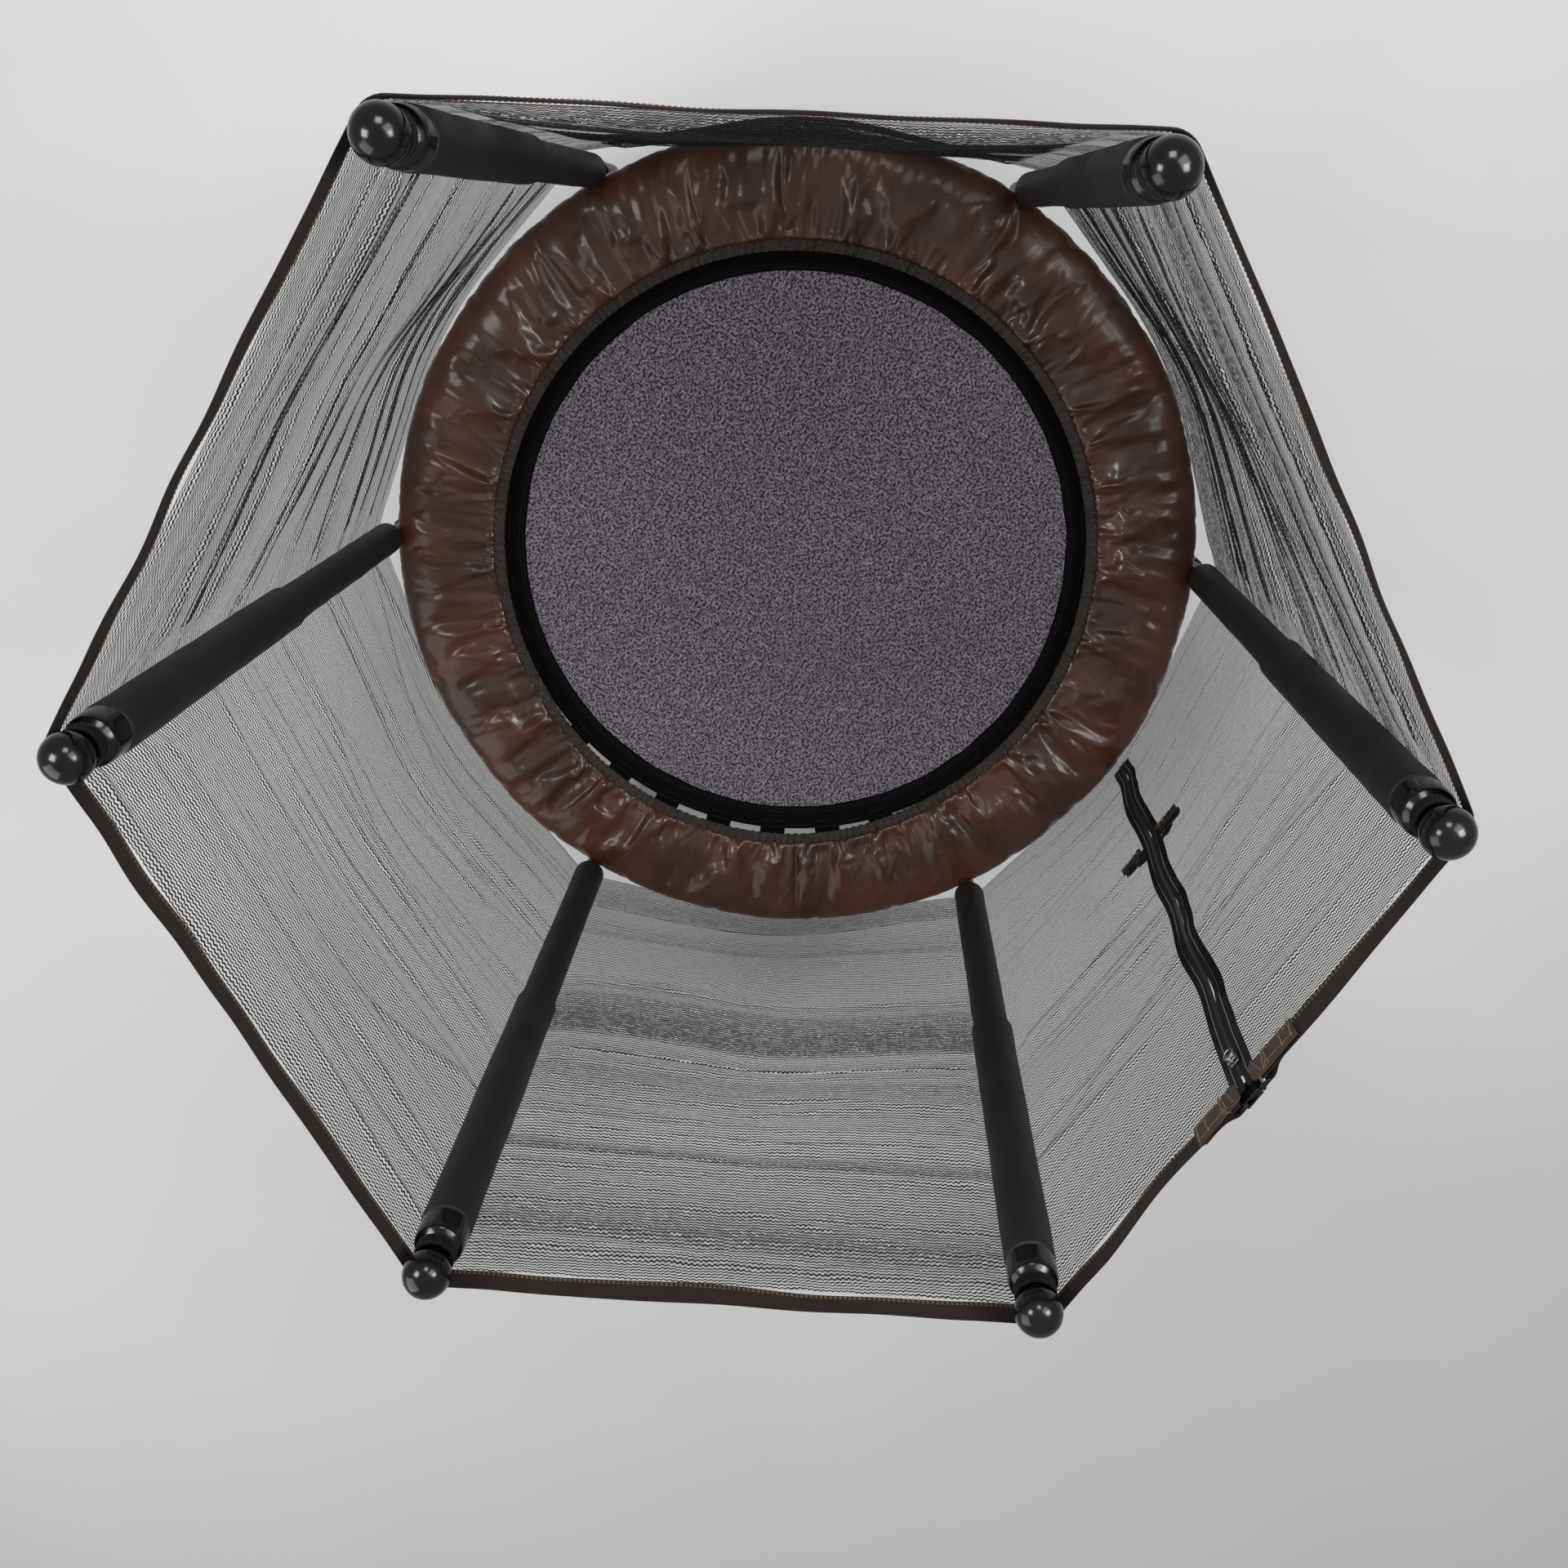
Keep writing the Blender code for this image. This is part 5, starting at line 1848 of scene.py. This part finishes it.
@dataclass
class Buckle:
    """Side-release buckle across the door, its straps and their stitching."""

    level: str
    plug_body: Body
    strap_reach: float
    inside: float
    tab_start: float
    tab_half: float

    def build(self) -> None:
        """Make the socket, the plug and both straps."""
        self.socket()
        self.plug()
        self.straps()

    def box(self, part: str) -> tuple[Vector, Vector]:
        """Box of the socket or the plug."""
        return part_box(f"buckle_{part}_{self.level}")

    def socket(self) -> None:
        """Hollow shell with side windows, grip ribs and a strap bar."""
        low, high = self.box("socket")
        y0, y1, z0, z1 = low.y, high.y, low.z, high.z
        skin = 0.0018
        shell, mid = low.x + 0.007, (z0 + z1) / 2
        near, far = y0 + 0.0022, y1 - 0.0022
        parts = [
            block("front", (shell, y0, z0), (high.x, y0 + skin, z1), 0.0007),
            block("back", (shell, y1 - skin, z0), (high.x, y1, z1), 0.0007),
            block("floor", (shell, y0, z0 + 0.002), (low.x + 0.011, y1, z1 - 0.002), 0.0006),
            block("rib", (low.x + 0.010, y0 + 0.001, mid - 0.0035),
                  (high.x - 0.004, y1 - 0.001, mid + 0.0035), 0.0006),
            block("bar", (low.x, near, z0), (low.x + 0.0032, far, z1), 0.0012),
            block("side_low", (low.x, near, z0), (low.x + 0.010, far, z0 + 0.004), 0.001),
            block("side_high", (low.x, near, z1 - 0.004), (low.x + 0.010, far, z1), 0.001),
        ]
        for z in (z0, z1 - 0.0022):
            parts.append(block("cheek", (high.x - 0.008, y0 + 0.0006, z),
                               (high.x, y1 - 0.0006, z + 0.0022), 0.0007))
        for k in range(4):
            x = low.x + 0.0125 + k * 0.0032
            parts.append(block("grip", (x, y0 - 0.0003, z0 + 0.008), (x + 0.0012, y0 + 0.0006, z1 - 0.008),
                               0.0002))
        fit(joined(f"socket_shell_{self.level}", parts), BUCKLE_PLASTIC,
            replaces=[f"buckle_socket_{self.level}"])

    def plug(self) -> None:
        """Plug with two sprung prongs, a guide and a strap bar."""
        low, high = self.box("plug")
        y0, y1, z0, z1 = low.y, high.y, low.z, high.z
        mid, base = (z0 + z1) / 2.0, high.x - 0.0150
        parts = [
            block("shoulder", (base, y0 - 0.0018, z0), (base + 0.0048, y1 + 0.0018, z1), 0.0012),
            block("bar", (high.x - 0.0032, y0, z0), (high.x, y1, z1), 0.0012),
            block("side_low", (base, y0, z0), (high.x, y1, z0 + 0.0038), 0.001),
            block("side_high", (base, y0, z1 - 0.0038), (high.x, y1, z1), 0.001),
        ]
        for z in (mid + 0.0042, mid - 0.0062):
            parts.append(block("guide", (low.x + 0.006, y0 + 0.0008, z),
                               (base, y1 - 0.0008, z + 0.0020), 0.0005))
        for way in (-1.0, 1.0):
            line = [(base + 0.002, 0.0, mid + way * 0.0095), (base - 0.008, 0.0, mid + way * 0.0098),
                    (low.x + 0.012, 0.0, mid + way * 0.0120), (low.x + 0.006, 0.0, mid + way * 0.0118),
                    (low.x + 0.0025, 0.0, mid + way * 0.0090)]
            path = resample(np.array(line), 20)
            path[:, 1] = (y0 + y1) / 2.0
            parts.append(tube("prong", path, 0.0017, 10))
        fit(joined(f"plug_body_{self.level}", parts), BUCKLE_PLASTIC,
            self.plug_body, [f"buckle_plug_{self.level}"])

    def straps(self) -> None:
        """Brown straps folded round the bars and sewn to the door's edges."""
        (s_low, s_high), (_, p_high) = self.box("socket"), self.box("plug")
        y, z = (s_low.y + s_high.y) / 2.0, (s_low.z + s_high.z) / 2.0
        left = self.strap(f"socket_strap_{self.level}", -s_low.x, -1.0, y, z)
        right = self.strap(f"plug_strap_{self.level}", p_high.x, 1.0, y, z)
        fit(left, BROWN_WEBBING)
        right.data.materials.append(BROWN_WEBBING.material())
        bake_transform(right)
        for side in (-1.0, 1.0):
            self.tab(side, z)

    def strap(self, name: str, bar: float, side: float, y: float, z: float) -> Piece:
        """Doubled strap from a bar to the sewn end on the outside.

        Args:
            name: Name of the strap.
            bar: Distance of the bar's outer edge from the middle of the door.
            side: Side of the door, -1 or 1.
            y: Depth of the bar's middle.
            z: Height of the strap.

        Returns:
            The strap.
        """
        end, out, far = self.strap_reach, self.inside - 0.0058, y - 0.0036
        run = [(end, out), (end - 0.030, out), (bar + 0.014, out - 0.0006), (bar + 0.006, y + 0.0046),
               (bar + 0.001, y + 0.0044), (bar - 0.0030, y + 0.0028), (bar - 0.0052, y),
               (bar - 0.0030, far), (bar + 0.001, far - 0.0010), (bar + 0.008, far - 0.0006),
               (bar + 0.020, out - 0.0036), (end - 0.026, out - 0.0018), (end - 0.003, out - 0.0018)]
        line = np.array(rounded(run, 0.006, 4))
        path = resample(np.stack([side * line[:, 0], line[:, 1], 0.0 * line[:, 0] + z], axis=1), 80)
        across = np.tile(UP, (len(path), 1))
        return ribbon(name, path, across, 0.0205, 0.0015, lanes=5)

    def tab(self, side: float, z: float) -> None:
        """Folded brown tape on the inside of the door's edge, sewn down by hand-guided lines.

        Args:
            side: Side of the door, -1 or 1.
            z: Height of its middle.
        """
        label = f"{self.level}_{'right' if side > 0 else 'left'}"
        lean = ripples(int(z * 100) + int(side) + 5, 4, 40.0, 120.0)
        share, lane = np.linspace(0.0, 1.0, 40), np.linspace(-1.0, 1.0, 13)
        along, over = np.meshgrid(share, lane, indexing="ij")
        x = self.tab_start + (self.strap_reach - self.tab_start) * along
        nose = np.sqrt(np.clip(1.0 - (1.0 - np.minimum(along * 5.0, 1.0)) ** 2, 0.02, 1.0))
        half = self.tab_half * (0.62 + 0.38 * nose + 0.03 * lean(x, 0.0))
        crown = 0.0016 * nose * (1.0 - over**4) + 0.0016 * np.exp(-((along - 0.08) / 0.10) ** 2)
        crown += 0.00045 * lean(x * 1.5, over * 0.012) * nose
        inner = self.inside + 0.0009
        front = np.stack([side * x, inner + crown, z + over * half], axis=-1)
        back = np.stack([side * x, inner - 0.0006 + 0.0 * x, z + over * half], axis=-1)
        ring = np.concatenate([front, back[:, ::-1]], axis=1)
        length = self.strap_reach - self.tab_start
        uv = np.stack([along * length, over * self.tab_half], axis=-1)
        uv = np.concatenate([uv, uv[:, ::-1], uv[:, :1]], axis=1)
        obj = grid_object(f"door_tab_{label}", ring, uv, wrap_columns=True)
        close_holes(obj)
        fit(obj, BROWN_WEBBING)
        draw = np.random.default_rng(int(z * 1000) + int(side) + 7)
        rows = []
        for place in (0.16, 0.30, 0.36, 0.72, 0.93):
            for turn in range(1 if place < 0.3 else 2):
                skew = draw.normal(0.0, 0.0022, 2)
                level = np.linspace(-0.94, 0.94, 14)
                at = self.tab_start + length * place + 0.0011 * turn
                thread = np.stack([side * (at + skew[0] * level + 0.0005 * draw.normal(size=14)),
                                   0.0 * level + inner + 0.0021, z + level * self.tab_half], axis=-1)
                lift = np.tile([0.0, 1.0, 0.0], (14, 1))
                rows.append(stitch_row("row", thread, lift, DOOR_CROSS_STITCH))
        for level in (-0.55, 0.50):
            start, end = self.tab_start + 0.30 * length, self.tab_start + 0.93 * length
            line = np.linspace((side * start, inner + 0.0021, z + level * self.tab_half),
                               (side * end, inner + 0.0019, z + level * self.tab_half * 1.3), 8)
            rows.append(stitch_row("row", line, np.tile([0.0, 1.0, 0.0], (8, 1)), DOOR_LONG_STITCH))
        for _ in range(3):
            base = np.array([side * (self.tab_start + length * draw.choice([0.16, 0.36, 0.93])),
                             inner + 0.0022, z + self.tab_half * draw.choice([-0.9, 0.9])])
            step = draw.normal(0.0, 1.0, (7, 3)) * np.array([0.0016, 0.0005, 0.0016])
            tail = base + np.cumsum(np.abs(step) * np.sign(draw.normal(size=3)) * [1.0, 0.6, 1.0], axis=0)
            rows.append(tube("tail", resample(np.vstack([base, tail]), 14), 0.00040, 5))
        fit(joined(f"door_tab_stitches_{label}", rows), TAN_THREAD)


# ---- studio


@dataclass
class Studio:
    """Pale floor, soft lights and the camera."""

    eye: Vector = field(default_factory=lambda: Vector((0.527, 0.215, 3.042)))
    aim: Vector = field(default_factory=lambda: Vector((-0.360, -0.210, 0.315)))
    picture_up: float = math.radians(32.4)
    lens: float = 36.4

    def build(self) -> None:
        """Set the whole stage."""
        self.camera()
        self.floor()
        self.world()
        along, over, up = polar(1.0, self.picture_up - math.pi / 2), polar(1.0, self.picture_up), Vector(UP)
        self.light("key", along * 1.7 + over * 1.3 + up * 3.3, 1.5, 26.0)
        self.light("fill", along * -2.4 - over * 1.6 + up * 2.6, 2.2, 30.0)
        self.light("right", self.eye + along * 1.75, 0.8, 22.0)
        self.light("left", self.eye - along * 1.75, 0.8, 22.0)
        self.light("top", self.eye + over * 1.6, 0.8, 16.0)

    def camera(self) -> None:
        """Camera above the open top, looking down into the enclosure."""
        data = bpy.data.cameras.new("camera")
        data.lens, data.sensor_width, data.clip_start = self.lens, 36.0, 0.05
        obj = bpy.data.objects.new("camera", data)
        ahead = (self.aim - self.eye).normalized()
        up = polar(1.0, self.picture_up)
        right = ahead.cross(up).normalized()
        turn = Matrix((right, right.cross(ahead), -ahead)).transposed()
        obj.matrix_world = Matrix.Translation(self.eye) @ turn.to_4x4()
        bpy.context.scene.collection.objects.link(obj)
        bpy.context.scene.camera = obj

    def floor(self) -> None:
        """Large matt floor."""
        corners = np.array([(-9.0, -9.0, 0.0), (9.0, -9.0, 0.0), (9.0, 9.0, 0.0), (-9.0, 9.0, 0.0)])
        obj = mesh_object("floor", corners, [(0, 1, 2, 3)])
        obj.data.materials.append(FLOOR.material())

    def world(self) -> None:
        """Even white surroundings."""
        world = bpy.data.worlds.new("studio")
        world.use_nodes = True
        sky = world.node_tree.nodes["Background"]
        sky.inputs["Color"].default_value = (1.0, 1.0, 1.0, 1.0)
        sky.inputs["Strength"].default_value = 0.30
        bpy.context.scene.world = world
        bpy.context.scene.view_settings.view_transform = "Standard"

    def light(self, name: str, place: Vector, size: float, power: float) -> None:
        """Square soft light aimed at the middle of the object."""
        data = bpy.data.lights.new(name, "AREA")
        data.size, data.energy = size, power
        obj = bpy.data.objects.new(name, data)
        toward = (Vector((0.0, 0.0, 0.4)) - place).to_track_quat("-Z", "Y")
        obj.matrix_world = Matrix.Translation(place) @ toward.to_matrix().to_4x4()
        bpy.context.scene.collection.objects.link(obj)


def main() -> None:
    """Build the stage and every piece, one assembly after the other."""
    logging.basicConfig(level=logging.INFO, format="%(message)s")
    layout = Layout()
    steps = [
        ("studio", Studio()),
        ("steel frame", SteelFrame(layout)),
        ("sleeves and caps", PoleDress(layout)),
        ("jumping bed", JumpingBed(layout)),
        ("rim pad", RimPad(layout)),
        ("enclosure", Enclosure(layout)),
        ("door zip", DoorZip(layout)),
        ("upper buckle", Buckle("upper", Body.PLUG_UPPER, 0.086, -0.6478, 0.0115, 0.0178)),
        ("lower buckle", Buckle("lower", Body.PLUG_LOWER, 0.068, -0.6858, 0.0225, 0.0112)),
    ]
    for label, assembly in steps:
        assembly.build()
        LOG.info("built %s", label)
    bpy.context.view_layer.update()


if __name__ == "__main__":
    main()
